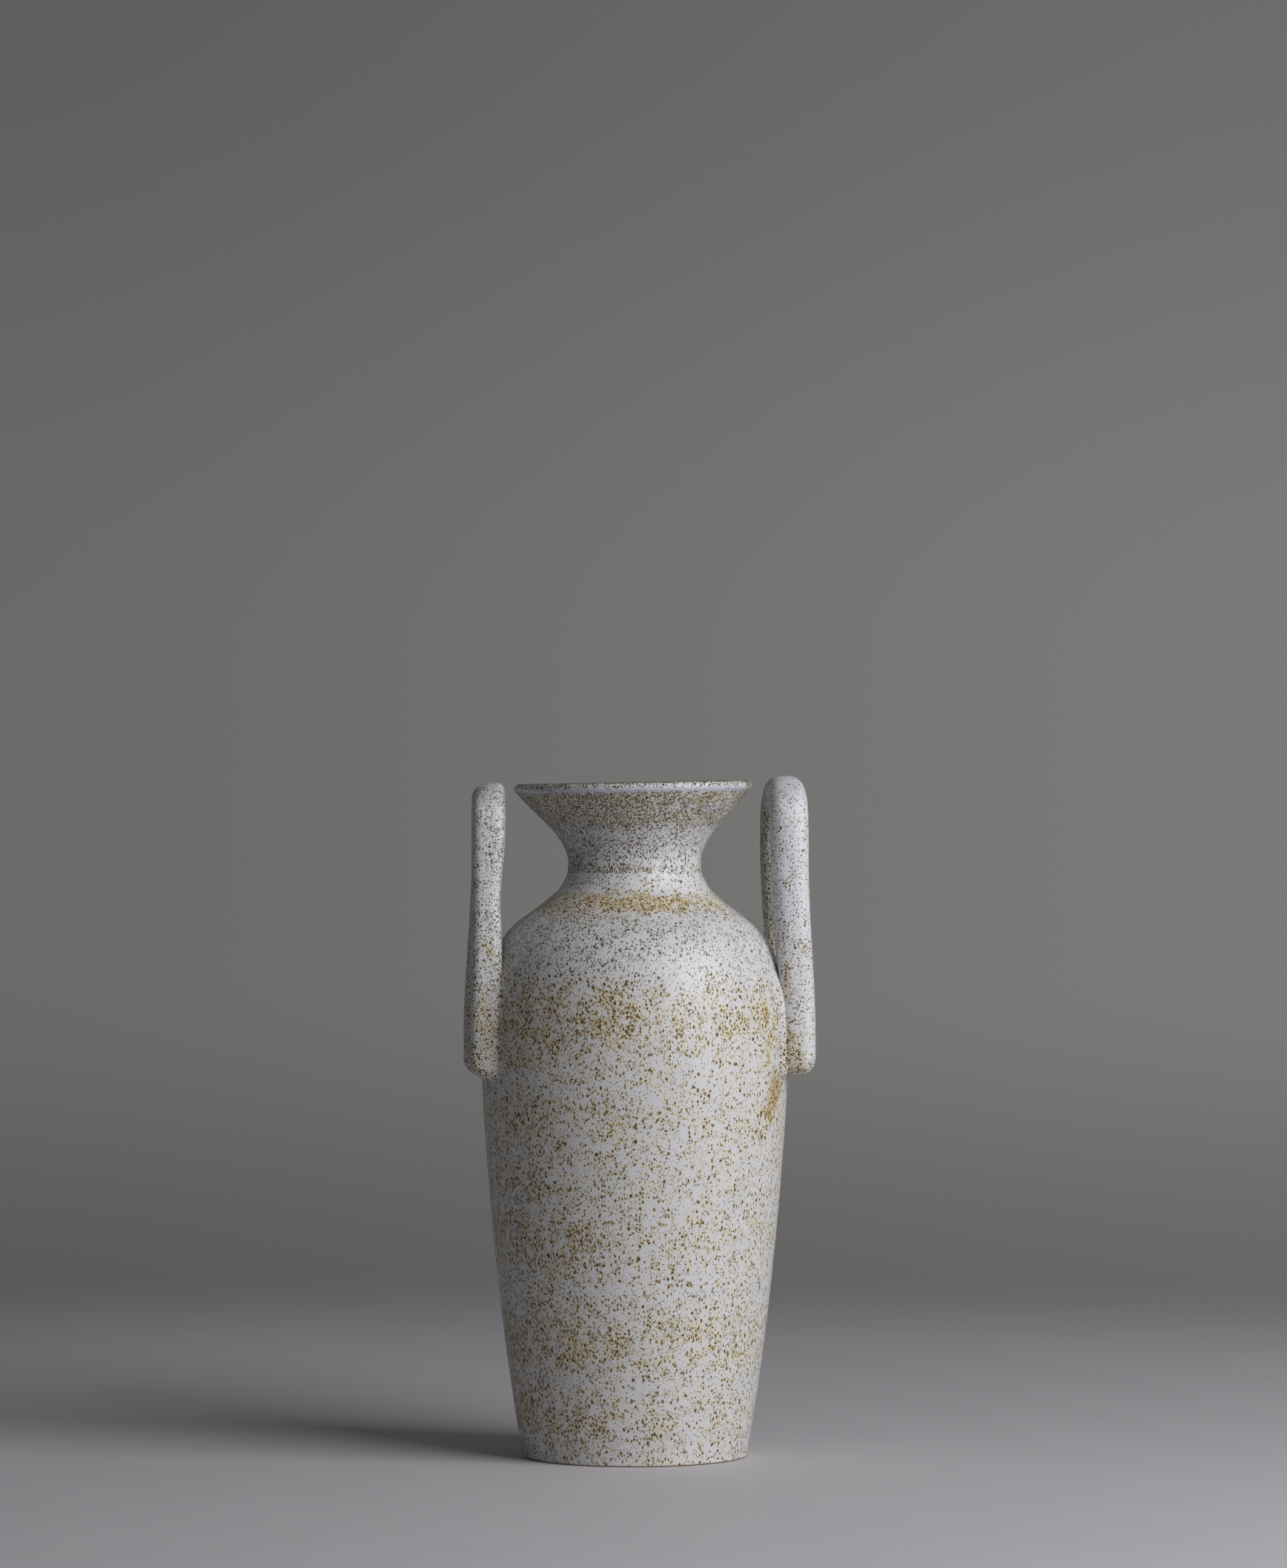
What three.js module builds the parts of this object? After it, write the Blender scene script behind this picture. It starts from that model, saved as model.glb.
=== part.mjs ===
// Two-handled stoneware vase: a thrown body, a neck thrown apart and luted on, and two arched handles.
// Millimetres, +Z up. The origin is the centre of the foot, and the handles stand on the X axis.
import * as THREE from "three";

// Heights, each counted from the one below it
const BELLY_HEIGHT = 204;
const SHOULDER_RISE = 83.5;
const WAIST_RISE = 20.5;
const FLARE_RISE = 36;
const LIP_BAND = 6;

// Radii of the outside
const FOOT_RADIUS = 58.4;
const BELLY_RADIUS = 79.7;
const SHOULDER_RADIUS = 47.4;
const WAIST_RADIUS = 34.6;
const MOUTH_RADIUS = 61.8;

// Slopes of the outside, in degrees from upright
const WALL_LEAN = 10.5;
const SHOULDER_SLOPE = 50.3;
const FLARE_SLOPE = 34.4;

// How far each curve keeps its end direction, as a share of its rise
const FOOT_PULL = 0.385;
const BELLY_PULL_BELOW = 0.1;
const BELLY_PULL_ABOVE = 0.85;
const SHOULDER_PULL_BELOW = 0.25;
const SHOULDER_PULL_ABOVE = 0.43;
const WAIST_PULL_BELOW = 0.57;
const WAIST_PULL_ABOVE = 0.42;
const FLARE_PULL = 0.21;

// Walls and edges
const BODY_WALL = 6.5;
const NECK_WALL = 5.2;
const FLOOR_THICKNESS = 8;
const FLOOR_FILLET = 8;
const FOOT_EDGE = 1.6;
const LIP_OVERHANG = 1;
const LIP_ROUND = 2;

// The mouth leans a little to the left, as it came off the wheel
const MOUTH_TILT = 1.05;

// Lutes: slip pressed between two pieces, with its squeezed-out edge
const JOINT_BELOW_WAIST = 10;
const NECK_SLIP = 1.2;
const NECK_BEAD = 0.5;
const HANDLE_SLIP = 1;
const HANDLE_SLIP_SPREAD = 2;
const JOINT_GAP = 0.3;

// Handles: each arch stands on two legs, half on each side of the X axis
const LEG_SPREAD = 22.5;
const ARCH_SQUARENESS = 2.25;
const COIL_SQUARENESS = 2.4;
const LEAN_END_ABOVE_BELLY = 14;
const SLANT_REACH = 20;

const RIGHT_HANDLE = {
  name: "right_handle",
  turn: 0,
  thickness: 18.8,
  width: 17,
  rise: 155,
  footDrop: 5.5,
  footRound: 6,
  footSlant: 3,
  press: 3.1,
  mouthClearance: 7.8,
};
const LEFT_HANDLE = {
  name: "left_handle",
  turn: Math.PI,
  thickness: 16.2,
  width: 15.5,
  rise: 154,
  footDrop: 7.5,
  footRound: 7,
  footSlant: 16,
  press: 4.8,
  mouthClearance: 7,
};

// Fineness of the faceted surfaces
const TURN_STEPS = 48;
const LOWER_WALL_STEPS = 7;
const SHOULDER_STEPS = 11;
const NECK_BASE_STEPS = 7;
const FLARE_STEPS = 8;
const COIL_SIDES = 20;
const LEG_STEPS = 9;
const ARCH_STEPS = 14;
const ROUND_STEPS = 4;
const SLIP_ROWS = 12;
const SLIP_COLUMNS = 6;
const CONTACT_STEP = 0.5;

// Heights from the floor, worked out from the rises
const SHOULDER_HEIGHT = BELLY_HEIGHT + SHOULDER_RISE;
const WAIST_HEIGHT = SHOULDER_HEIGHT + WAIST_RISE;
const LIP_HEIGHT = WAIST_HEIGHT + FLARE_RISE;
const HEIGHT = LIP_HEIGHT + LIP_BAND;
const JOINT_HEIGHT = WAIST_HEIGHT - JOINT_BELOW_WAIST;

const point = (radius, height) => new THREE.Vector2(radius, height);
const radians = THREE.MathUtils.degToRad;

// One stretch of the outline, without its first point, that leaves and arrives at the given slopes
function stretch(from, slopeFrom, pullFrom, to, slopeTo, pullTo, steps) {
  const rise = to.y - from.y;
  const leave = point(Math.sin(radians(slopeFrom)), Math.cos(radians(slopeFrom)));
  const arrive = point(Math.sin(radians(slopeTo)), Math.cos(radians(slopeTo)));
  const second = from.clone().addScaledVector(leave, pullFrom * rise);
  const third = to.clone().addScaledVector(arrive, -pullTo * rise);
  return new THREE.CubicBezierCurve(from, second, third, to).getPoints(steps).slice(1);
}

// The outside of the whole vase, from the foot's edge to the underside of the lip
function outsideWall() {
  const foot = point(FOOT_RADIUS, FOOT_EDGE);
  const belly = point(BELLY_RADIUS, BELLY_HEIGHT);
  const shoulder = point(SHOULDER_RADIUS, SHOULDER_HEIGHT);
  const waist = point(WAIST_RADIUS, WAIST_HEIGHT);
  const lip = point(MOUTH_RADIUS - LIP_OVERHANG, LIP_HEIGHT);
  const slope = -SHOULDER_SLOPE;
  return [
    foot,
    ...stretch(foot, WALL_LEAN, FOOT_PULL, belly, 0, BELLY_PULL_BELOW, LOWER_WALL_STEPS),
    ...stretch(belly, 0, BELLY_PULL_ABOVE, shoulder, slope, SHOULDER_PULL_BELOW, SHOULDER_STEPS),
    ...stretch(shoulder, slope, SHOULDER_PULL_ABOVE, waist, 0, WAIST_PULL_BELOW, NECK_BASE_STEPS),
    ...stretch(waist, 0, WAIST_PULL_ABOVE, lip, FLARE_SLOPE, FLARE_PULL, FLARE_STEPS),
  ];
}

// The same line moved square to itself, towards the axis
function movedIn(line, wall) {
  return line.map((here, i) => {
    const before = line[Math.max(i - 1, 0)];
    const after = line[Math.min(i + 1, line.length - 1)];
    const along = after.clone().sub(before).normalize();
    return point(here.x - along.y * wall, here.y + along.x * wall);
  });
}

// The radius of a line at a height, read between its points
function radiusAt(line, height) {
  const next = line.findIndex((p) => p.y >= height);
  if (next < 0) return line[line.length - 1].x;
  if (next === 0) return line[0].x;
  const low = line[next - 1];
  const high = line[next];
  return THREE.MathUtils.mapLinear(height, low.y, high.y, low.x, high.x);
}

// The part of a rising line between two heights, with a point at each of them
function between(line, low, high) {
  const inside = line.filter((p) => p.y > low && p.y < high);
  return [point(radiusAt(line, low), low), ...inside, point(radiusAt(line, high), high)];
}

// A round corner from one point to another, bulging towards the corner point
function corner(from, at, to) {
  return new THREE.QuadraticBezierCurve(from, at, to).getPoints(ROUND_STEPS);
}

// A closed outline turned about the vertical axis
function turned(outline) {
  return new THREE.LatheGeometry(outline, TURN_STEPS).rotateX(Math.PI / 2);
}

const wall = outsideWall();

// The body: foot, floor, wall and shoulder, open at the top where the neck is luted on
function bodyGeometry() {
  const top = JOINT_HEIGHT - NECK_SLIP / 2 - JOINT_GAP;
  const inside = movedIn(wall, BODY_WALL);
  const floorRadius = radiusAt(inside, FLOOR_THICKNESS);
  const wallStart = FLOOR_THICKNESS + FLOOR_FILLET;
  return turned([
    point(0, 0),
    ...corner(point(FOOT_RADIUS - FOOT_EDGE, 0), point(FOOT_RADIUS, 0), wall[0]),
    ...between(wall, FOOT_EDGE, top).slice(1),
    ...between(inside, wallStart, top).reverse(),
    ...corner(
      point(radiusAt(inside, wallStart), wallStart),
      point(floorRadius, FLOOR_THICKNESS),
      point(floorRadius - FLOOR_FILLET, FLOOR_THICKNESS),
    ).slice(1),
    point(0, FLOOR_THICKNESS),
  ]);
}

// The leaning mouth: heights and places change smoothly from the joint, which stays flat, to the lip
function leanMouth(geometry, start) {
  const places = geometry.getAttribute("position");
  const lean = Math.tan(radians(MOUTH_TILT));
  for (let i = 0; i < places.count; i++) {
    const x = places.getX(i);
    const z = places.getZ(i);
    const share = THREE.MathUtils.smoothstep(z, start, HEIGHT);
    places.setXYZ(i, x - lean * share * (z - start), places.getY(i), z + lean * share * x);
  }
  return geometry;
}

// The neck: a narrow waist that flares to the mouth, with a rounded lip
function neckGeometry() {
  const bottom = JOINT_HEIGHT + NECK_SLIP / 2 + JOINT_GAP;
  const inside = movedIn(wall, NECK_WALL);
  const insideTop = inside[inside.length - 1];
  const outside = between(wall, bottom, LIP_HEIGHT);
  const lipUnder = outside[outside.length - 1];
  const lipSide = point(MOUTH_RADIUS, LIP_HEIGHT + LIP_OVERHANG);
  const lipTop = point(MOUTH_RADIUS - LIP_ROUND, HEIGHT);
  const outline = [
    ...outside,
    ...corner(lipUnder, point(MOUTH_RADIUS, LIP_HEIGHT), lipSide).slice(1),
    ...corner(point(MOUTH_RADIUS, HEIGHT - LIP_ROUND), point(MOUTH_RADIUS, HEIGHT), lipTop),
    ...corner(lipTop, point(insideTop.x, HEIGHT), insideTop).slice(1),
    ...between(inside, bottom, insideTop.y).reverse().slice(1),
    outside[0],
  ];
  return leanMouth(turned(outline), bottom);
}

// The ring of slip between the body and the neck, with a bead inside and out
function neckSlipGeometry() {
  const outer = radiusAt(wall, JOINT_HEIGHT);
  const inner = radiusAt(movedIn(wall, NECK_WALL), JOINT_HEIGHT);
  const low = JOINT_HEIGHT - NECK_SLIP / 2;
  const high = JOINT_HEIGHT + NECK_SLIP / 2;
  return turned([
    point(inner, low),
    point(outer, low),
    point(outer + NECK_BEAD, JOINT_HEIGHT),
    point(outer, high),
    point(inner, high),
    point(inner - NECK_BEAD, JOINT_HEIGHT),
    point(inner, low),
  ]);
}

// A closed skin over rings of points, each with as many points, with its two ends filled
function skinned(rings) {
  const sides = rings[0].length;
  const middle = (ring) =>
    ring.reduce((sum, p) => sum.add(p), new THREE.Vector3()).divideScalar(ring.length);
  const points = [...rings.flat(), middle(rings[0]), middle(rings[rings.length - 1])];
  const first = points.length - 2;
  const last = points.length - 1;
  const faces = [];
  for (let side = 0; side < sides; side++) {
    const next = (side + 1) % sides;
    faces.push(first, next, side);
    for (let ring = 0; ring + 1 < rings.length; ring++) {
      const low = ring * sides;
      const high = low + sides;
      faces.push(low + side, low + next, high + next);
      faces.push(low + side, high + next, high + side);
    }
    const top = (rings.length - 1) * sides;
    faces.push(last, top + side, top + next);
  }
  const geometry = new THREE.BufferGeometry().setFromPoints(points);
  geometry.setIndex(faces);
  geometry.computeVertexNormals();
  return geometry;
}

// A signed power, for the even squareness of a coil's section and of the arch
const power = (value, exponent) => Math.sign(value) * Math.abs(value) ** exponent;

// Where the legs of a handle stand, in the handle's own plan
function handlePlan(handle) {
  const half = handle.thickness / 2;
  const wallAtLeg = Math.sqrt(BELLY_RADIUS ** 2 - LEG_SPREAD ** 2);
  const foot = BELLY_HEIGHT - handle.footDrop;
  return {
    foot,
    apex: foot + handle.rise,
    footReach: wallAtLeg + half - handle.press,
    topReach: MOUTH_RADIUS + handle.mouthClearance + half,
  };
}

// The distance of a handle's middle from the vase's axis at a height
function reachAt(plan, height) {
  const leanFoot = BELLY_HEIGHT + LEAN_END_ABOVE_BELLY;
  const share = THREE.MathUtils.smoothstep(height, leanFoot, WAIST_HEIGHT);
  return THREE.MathUtils.lerp(plan.footReach, plan.topReach, share);
}

// The middle line of a handle, from its foot at -Y over the arch to its foot at +Y
function handleLine(handle, plan) {
  const archTop = plan.apex - handle.width / 2;
  const spring = archTop - LEG_SPREAD;
  const legStart = plan.foot + handle.footRound;
  const leg = [];
  for (let step = 0; step < LEG_STEPS; step++) {
    leg.push(point(-LEG_SPREAD, THREE.MathUtils.lerp(legStart, spring, step / LEG_STEPS)));
  }
  const arch = [];
  for (let step = 0; step <= ARCH_STEPS; step++) {
    const angle = (Math.PI * step) / ARCH_STEPS;
    const across = -LEG_SPREAD * power(Math.cos(angle), 2 / ARCH_SQUARENESS);
    const up = LEG_SPREAD * power(Math.sin(angle), 2 / ARCH_SQUARENESS);
    arch.push(point(across, spring + up));
  }
  const otherLeg = leg.map((p) => point(-p.x, p.y)).reverse();
  return [...leg, ...arch, ...otherLeg];
}

// One ring of a coil's section, shrunk evenly on all sides, about a point of the middle line
function coilRing(handle, centre, out, across, shrink) {
  const ring = [];
  for (let side = 0; side < COIL_SIDES; side++) {
    const angle = (2 * Math.PI * side) / COIL_SIDES;
    const x = (handle.thickness / 2 - shrink) * power(Math.cos(angle), 2 / COIL_SQUARENESS);
    const y = (handle.width / 2 - shrink) * power(Math.sin(angle), 2 / COIL_SQUARENESS);
    ring.push(centre.clone().addScaledVector(out, x).addScaledVector(across, y));
  }
  return ring;
}

// A handle: an arched coil with blunt rounded feet, its legs pressed against the slip on the body
function handleGeometry(handle) {
  const plan = handlePlan(handle);
  const line = handleLine(handle, plan).map((p) => new THREE.Vector3(reachAt(plan, p.y), p.x, p.y));
  const radial = new THREE.Vector3(1, 0, 0);
  const rings = line.map((centre, i) => {
    const before = line[Math.max(i - 1, 0)];
    const after = line[Math.min(i + 1, line.length - 1)];
    const along = after.clone().sub(before).normalize();
    const across = new THREE.Vector3().crossVectors(along, radial).normalize();
    const out = new THREE.Vector3().crossVectors(across, along);
    return coilRing(handle, centre, out, across, 0);
  });
  const footRings = (leg, sign) => {
    const made = [];
    for (let step = 0; step < ROUND_STEPS; step++) {
      const angle = (Math.PI / 2) * (step / ROUND_STEPS);
      const centre = leg.clone();
      centre.z -= handle.footRound * Math.cos(angle);
      const shrink = handle.footRound * (1 - Math.sin(angle));
      made.push(coilRing(handle, centre, radial, new THREE.Vector3(0, sign, 0), shrink));
    }
    return made;
  };
  const all = [
    ...footRings(line[0], 1),
    ...rings,
    ...footRings(line[line.length - 1], -1).reverse(),
  ];
  all.flat().forEach((p) => {
    slantFoot(handle, plan, p);
    pressOnSlip(p);
  });
  return skinned(all);
}

// The foot's bottom slopes down towards the body
function slantFoot(handle, plan, p) {
  const fade = 1 - THREE.MathUtils.smoothstep(p.z, plan.foot, plan.foot + SLANT_REACH);
  p.z += Math.tan(radians(handle.footSlant)) * (p.x - plan.footReach) * fade;
}

// A point of the coil that would lie in the body or its slip is pressed out to the slip's face
function pressOnSlip(p) {
  const seat = radiusAt(wall, p.z) + HANDLE_SLIP + 2 * JOINT_GAP;
  const reach = Math.hypot(p.x, p.y);
  if (p.z < JOINT_HEIGHT && reach < seat) {
    p.x = Math.sqrt(seat ** 2 - p.y ** 2);
  }
}

// The height at which a leg's inner face comes clear of the body
function contactTop(handle, plan) {
  let height = BELLY_HEIGHT;
  const clear = (z) => {
    const innerFace = reachAt(plan, z) - handle.thickness / 2;
    return Math.hypot(innerFace, LEG_SPREAD) > radiusAt(wall, z) + HANDLE_SLIP;
  };
  while (height < JOINT_HEIGHT && !clear(height)) height += CONTACT_STEP;
  return height;
}

// A pad of slip that follows the body's wall under one leg, and shows around its edge
function handleSlipGeometry(handle, sign) {
  const plan = handlePlan(handle);
  const low = plan.foot - HANDLE_SLIP_SPREAD;
  const high = contactTop(handle, plan) + HANDLE_SLIP_SPREAD;
  const halfWidth = handle.width / 2 + HANDLE_SLIP_SPREAD;
  const rings = [];
  for (let row = 0; row <= SLIP_ROWS; row++) {
    const turn = -Math.cos((Math.PI * (row + 0.5)) / (SLIP_ROWS + 1));
    const z = THREE.MathUtils.mapLinear(turn, -1, 1, low, high);
    const endDistance = Math.min(z - low, high - z);
    const narrow = Math.max(halfWidth - endDistance, 0);
    const across = Math.sqrt(halfWidth ** 2 - narrow ** 2);
    const face = (radius) => {
      const made = [];
      for (let column = 0; column <= SLIP_COLUMNS; column++) {
        const y = sign * LEG_SPREAD + across * ((2 * column) / SLIP_COLUMNS - 1);
        made.push(new THREE.Vector3(Math.sqrt(radius ** 2 - y ** 2), y, z));
      }
      return made;
    };
    const inner = radiusAt(wall, z) + JOINT_GAP;
    rings.push([...face(inner + HANDLE_SLIP), ...face(inner).reverse()]);
  }
  return skinned(rings);
}

// Finishes, each with the colour of its piece
const glaze = (colour, roughness) =>
  new THREE.MeshStandardMaterial({ color: colour, roughness, metalness: 0 });
const bodyGlaze = glaze(0xc9c6c0, 0.5);
const neckGlaze = glaze(0xc4c1bb, 0.5);
const handleGlaze = glaze(0xcfcdca, 0.45);
const slipGlaze = glaze(0xd4d1c8, 0.4);

// One named piece of the vase
function piece(name, geometry, material) {
  const mesh = new THREE.Mesh(geometry, material);
  mesh.name = name;
  return mesh;
}

// A handle with the slip under its two legs, turned to its side of the vase
function handleGroup(handle) {
  const group = new THREE.Group();
  group.rotation.z = handle.turn;
  group.add(piece(handle.name, handleGeometry(handle), handleGlaze));
  const frontSign = handle.turn === 0 ? -1 : 1;
  group.add(piece(`${handle.name}_slip_front`, handleSlipGeometry(handle, frontSign), slipGlaze));
  group.add(piece(`${handle.name}_slip_back`, handleSlipGeometry(handle, -frontSign), slipGlaze));
  return group;
}

const vase = new THREE.Group();
vase.add(piece("body", bodyGeometry(), bodyGlaze));
vase.add(piece("neck_slip", neckSlipGeometry(), slipGlaze));
vase.add(piece("neck", neckGeometry(), neckGlaze));
vase.add(handleGroup(RIGHT_HANDLE));
vase.add(handleGroup(LEFT_HANDLE));

export default vase;
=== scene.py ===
"""Dresses the two-handled vase: thrown body and neck, coiled handles, slip lutes, speckled satin glaze.

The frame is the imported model's: metres, +Z up, the origin at the centre of the foot, and the handles on
the X axis. Sizes in the classes are millimetres, as a potter would give them.
"""

import logging
import math
from dataclasses import dataclass, field
from enum import Enum

import bpy
import numpy as np
from mathutils import Matrix, Vector


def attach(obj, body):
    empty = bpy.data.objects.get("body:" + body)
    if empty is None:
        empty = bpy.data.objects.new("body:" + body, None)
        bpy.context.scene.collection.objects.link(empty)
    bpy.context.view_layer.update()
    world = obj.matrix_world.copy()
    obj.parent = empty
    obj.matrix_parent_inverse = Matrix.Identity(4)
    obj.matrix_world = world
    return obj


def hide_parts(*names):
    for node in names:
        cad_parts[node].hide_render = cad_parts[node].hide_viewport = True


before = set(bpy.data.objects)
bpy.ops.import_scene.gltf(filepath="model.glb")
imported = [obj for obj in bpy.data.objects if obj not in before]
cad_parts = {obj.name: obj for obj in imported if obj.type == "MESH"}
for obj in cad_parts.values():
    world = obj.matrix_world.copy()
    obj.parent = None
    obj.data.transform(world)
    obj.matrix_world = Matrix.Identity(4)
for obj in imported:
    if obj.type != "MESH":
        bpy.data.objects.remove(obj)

MM = 0.001
TAU = 2.0 * math.pi
ROOT = "root"

# Sizes of the uneven patches in millimetres, and how close two points are to be one, in metres
FINGER_PATCH = 45.0
WALL_PATCH = 70.0
COIL_PATCH = 26.0
WELD = 2e-6

Colour = tuple[float, float, float]
Stops = tuple[tuple[float, float], ...]
Socket = bpy.types.NodeSocket

log = logging.getLogger("vase")


class Side(Enum):
    """The side of the vase that a handle stands on, seen from the front, as the sign of X."""

    RIGHT = 1
    LEFT = -1


class Leg(Enum):
    """One of a handle's two legs, as the sign of Y."""

    FRONT = -1
    BACK = 1


class Slot(Enum):
    """The record's material slots."""

    BODY_GLAZE = "speckled_glaze"
    HANDLE_GLAZE = "handle_glaze"
    LUTE_GLAZE = "slip_joint"


def linear(colour: Colour) -> tuple[float, float, float, float]:
    """Turns a screen colour into the one that a shader takes.

    Args:
        colour: Red, green and blue as seen on a screen, 0 to 255.

    Returns:
        The linear colour with an alpha of 1.
    """
    shares = [value / 255.0 for value in colour]
    red, green, blue = (s / 12.92 if s <= 0.04045 else ((s + 0.055) / 1.055) ** 2.4 for s in shares)
    return (red, green, blue, 1.0)


def smoothstep(value: np.ndarray | float, low: float, high: float) -> np.ndarray:
    """Rises smoothly from 0 at low to 1 at high, for one value or several."""
    share = np.clip((np.asarray(value, float) - low) / (high - low), 0.0, 1.0)
    return share * share * (3.0 - 2.0 * share)


class Wires:
    """Adds nodes to a node tree and joins them, for geometry and for shaders alike."""

    def __init__(self, tree: bpy.types.NodeTree) -> None:
        """Keeps the tree that the nodes go into."""
        self.tree = tree

    @classmethod
    def afresh(cls, owner: bpy.types.Material | bpy.types.World) -> "Wires":
        """Empties the tree of a material or a world and starts on it."""
        owner.use_nodes = True
        owner.node_tree.nodes.clear()
        return cls(owner.node_tree)

    def node(self, kind: str, **settings: object) -> bpy.types.Node:
        """Adds a node.

        Args:
            kind: Blender's name for the kind of node.
            **settings: Properties to set on it.

        Returns:
            The new node.
        """
        made = self.tree.nodes.new(kind)
        for name, value in settings.items():
            setattr(made, name, value)
        return made

    def feed(self, socket: Socket, value: object) -> None:
        """Joins another node's output to a socket, or sets the socket's own value."""
        if isinstance(value, Socket):
            self.tree.links.new(value, socket)
        else:
            socket.default_value = value

    def math(self, operation: str, *values: object, clamp: bool = False) -> Socket:
        """Adds a Math node.

        Args:
            operation: Its operation, such as MULTIPLY.
            *values: Its inputs, sockets or numbers.
            clamp: Whether the result is kept between 0 and 1.

        Returns:
            Its output.
        """
        made = self.node("ShaderNodeMath", operation=operation, use_clamp=clamp)
        for socket, value in zip(made.inputs, values):
            self.feed(socket, value)
        return made.outputs[0]

    def times(self, first: object, second: object) -> Socket:
        """Multiplies two numbers."""
        return self.math("MULTIPLY", first, second)

    def plus(self, first: object, second: object) -> Socket:
        """Adds two numbers."""
        return self.math("ADD", first, second)

    def vector(self, operation: str, *values: object) -> Socket:
        """Adds a Vector Math node.

        Args:
            operation: Its operation, such as ADD.
            *values: Its vector inputs, sockets or triples.

        Returns:
            Its vector or number, whichever the operation makes.
        """
        made = self.node("ShaderNodeVectorMath", operation=operation)
        for socket, value in zip(made.inputs, values):
            self.feed(socket, value)
        return made.outputs[1 if operation in ("DOT_PRODUCT", "LENGTH", "DISTANCE") else 0]

    def scaled(self, vector: object, factor: object) -> Socket:
        """Multiplies a vector by a number.

        Args:
            vector: The vector's socket.
            factor: A socket or a number.

        Returns:
            The scaled vector.
        """
        made = self.node("ShaderNodeVectorMath", operation="SCALE")
        self.feed(made.inputs[0], vector)
        self.feed(made.inputs["Scale"], factor)
        return made.outputs[0]

    def joined(self, x: object, y: object, z: object) -> Socket:
        """Makes a vector of three numbers.

        Args:
            x: The first.
            y: The second.
            z: The third.

        Returns:
            The vector.
        """
        made = self.node("ShaderNodeCombineXYZ")
        for socket, value in zip(made.inputs, (x, y, z)):
            self.feed(socket, value)
        return made.outputs[0]

    def split(self, vector: object) -> tuple[Socket, ...]:
        """Takes a vector apart.

        Args:
            vector: The vector's socket.

        Returns:
            Its x, y and z.
        """
        made = self.node("ShaderNodeSeparateXYZ")
        self.feed(made.inputs[0], vector)
        return tuple(made.outputs)

    def step(self, value: object, low: object, high: object, to: tuple = (0.0, 1.0)) -> Socket:
        """Adds a Map Range node with smooth ends.

        Args:
            value: What is read.
            low: The value at which the first result is reached.
            high: The value at which the second is reached.
            to: The two results.

        Returns:
            The result.
        """
        made = self.node("ShaderNodeMapRange", interpolation_type="SMOOTHSTEP", clamp=True)
        for socket, number in zip(made.inputs, (value, low, high, to[0], to[1])):
            self.feed(socket, number)
        return made.outputs[0]

    def texture(self, kind: str, place: object, size: float, **values: float) -> object:
        """Adds a texture that repeats at a size.

        Args:
            kind: Blender's name for the kind of texture.
            place: The coordinates, in metres.
            size: The size, in millimetres.
            **values: Its other inputs.

        Returns:
            Its outputs.
        """
        made = self.node(kind)
        self.feed(made.inputs["Vector"], place)
        made.inputs["Scale"].default_value = 1.0 / (size * MM)
        for name, value in values.items():
            made.inputs[name].default_value = value
        return made.outputs

    def noise(self, place: object, size: float, detail: float = 2.0) -> Socket:
        """Adds a Noise Texture, about 0.5 on average, with lumps of a size in millimetres."""
        return self.texture("ShaderNodeTexNoise", place, size, Detail=detail)[0]

    def noise_vector(self, place: object, size: float) -> Socket:
        """Adds a Noise Texture that moves coordinates, its parts between -0.5 and 0.5."""
        moved = self.texture("ShaderNodeTexNoise", place, size, Detail=1.0)[1]
        return self.vector("SUBTRACT", moved, (0.5, 0.5, 0.5))

    def cells(self, place: object, size: float) -> tuple[Socket, Socket]:
        """Adds a Voronoi Texture that gives the distance in millimetres and the cell's random colour."""
        made = self.texture("ShaderNodeTexVoronoi", place, size)
        return self.times(made["Distance"], size), made["Color"]

    def mix(self, share: object, below: object, above: object, blend: str = "MIX") -> Socket:
        """Mixes two colours.

        Args:
            share: How much of the second one shows.
            below: The first colour.
            above: The second colour.
            blend: How they are mixed.

        Returns:
            The mixed colour.
        """
        made = self.node("ShaderNodeMix", data_type="RGBA", blend_type=blend)
        self.feed(made.inputs[0], share)
        self.feed(made.inputs[6], below)
        self.feed(made.inputs[7], above)
        return made.outputs[2]

    def show(self, kind: str, share: object, *shaders: bpy.types.Node) -> None:
        """Mixes two shaders and joins them to the tree's output.

        Args:
            kind: Blender's name for the kind of output.
            share: How much of the second shader shows.
            *shaders: The two shaders.
        """
        both = self.node("ShaderNodeMixShader")
        for socket, value in zip(both.inputs, (share, *(shader.outputs[0] for shader in shaders))):
            self.feed(socket, value)
        self.feed(self.node(kind).inputs["Surface"], both.outputs[0])

    def graded(self, value: object, stops: Stops, whole: float) -> Socket:
        """Reads a curve given by its stops.

        Args:
            value: Where it is read, from 0 to whole.
            stops: Pairs of a place and the curve's value there, 0 to 1.
            whole: The place of the curve's far end.

        Returns:
            The curve's value.
        """
        made = self.node("ShaderNodeValToRGB")
        self.feed(made.inputs[0], self.math("DIVIDE", value, whole))
        ramp = made.color_ramp
        ramp.interpolation = "EASE"
        for number, (place, level) in enumerate(stops):
            element = ramp.elements[number] if number < 2 else ramp.elements.new(1.0)
            element.position = place / whole
            element.color = (level, level, level, 1.0)
        return self.split(made.outputs[0])[0]


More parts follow.
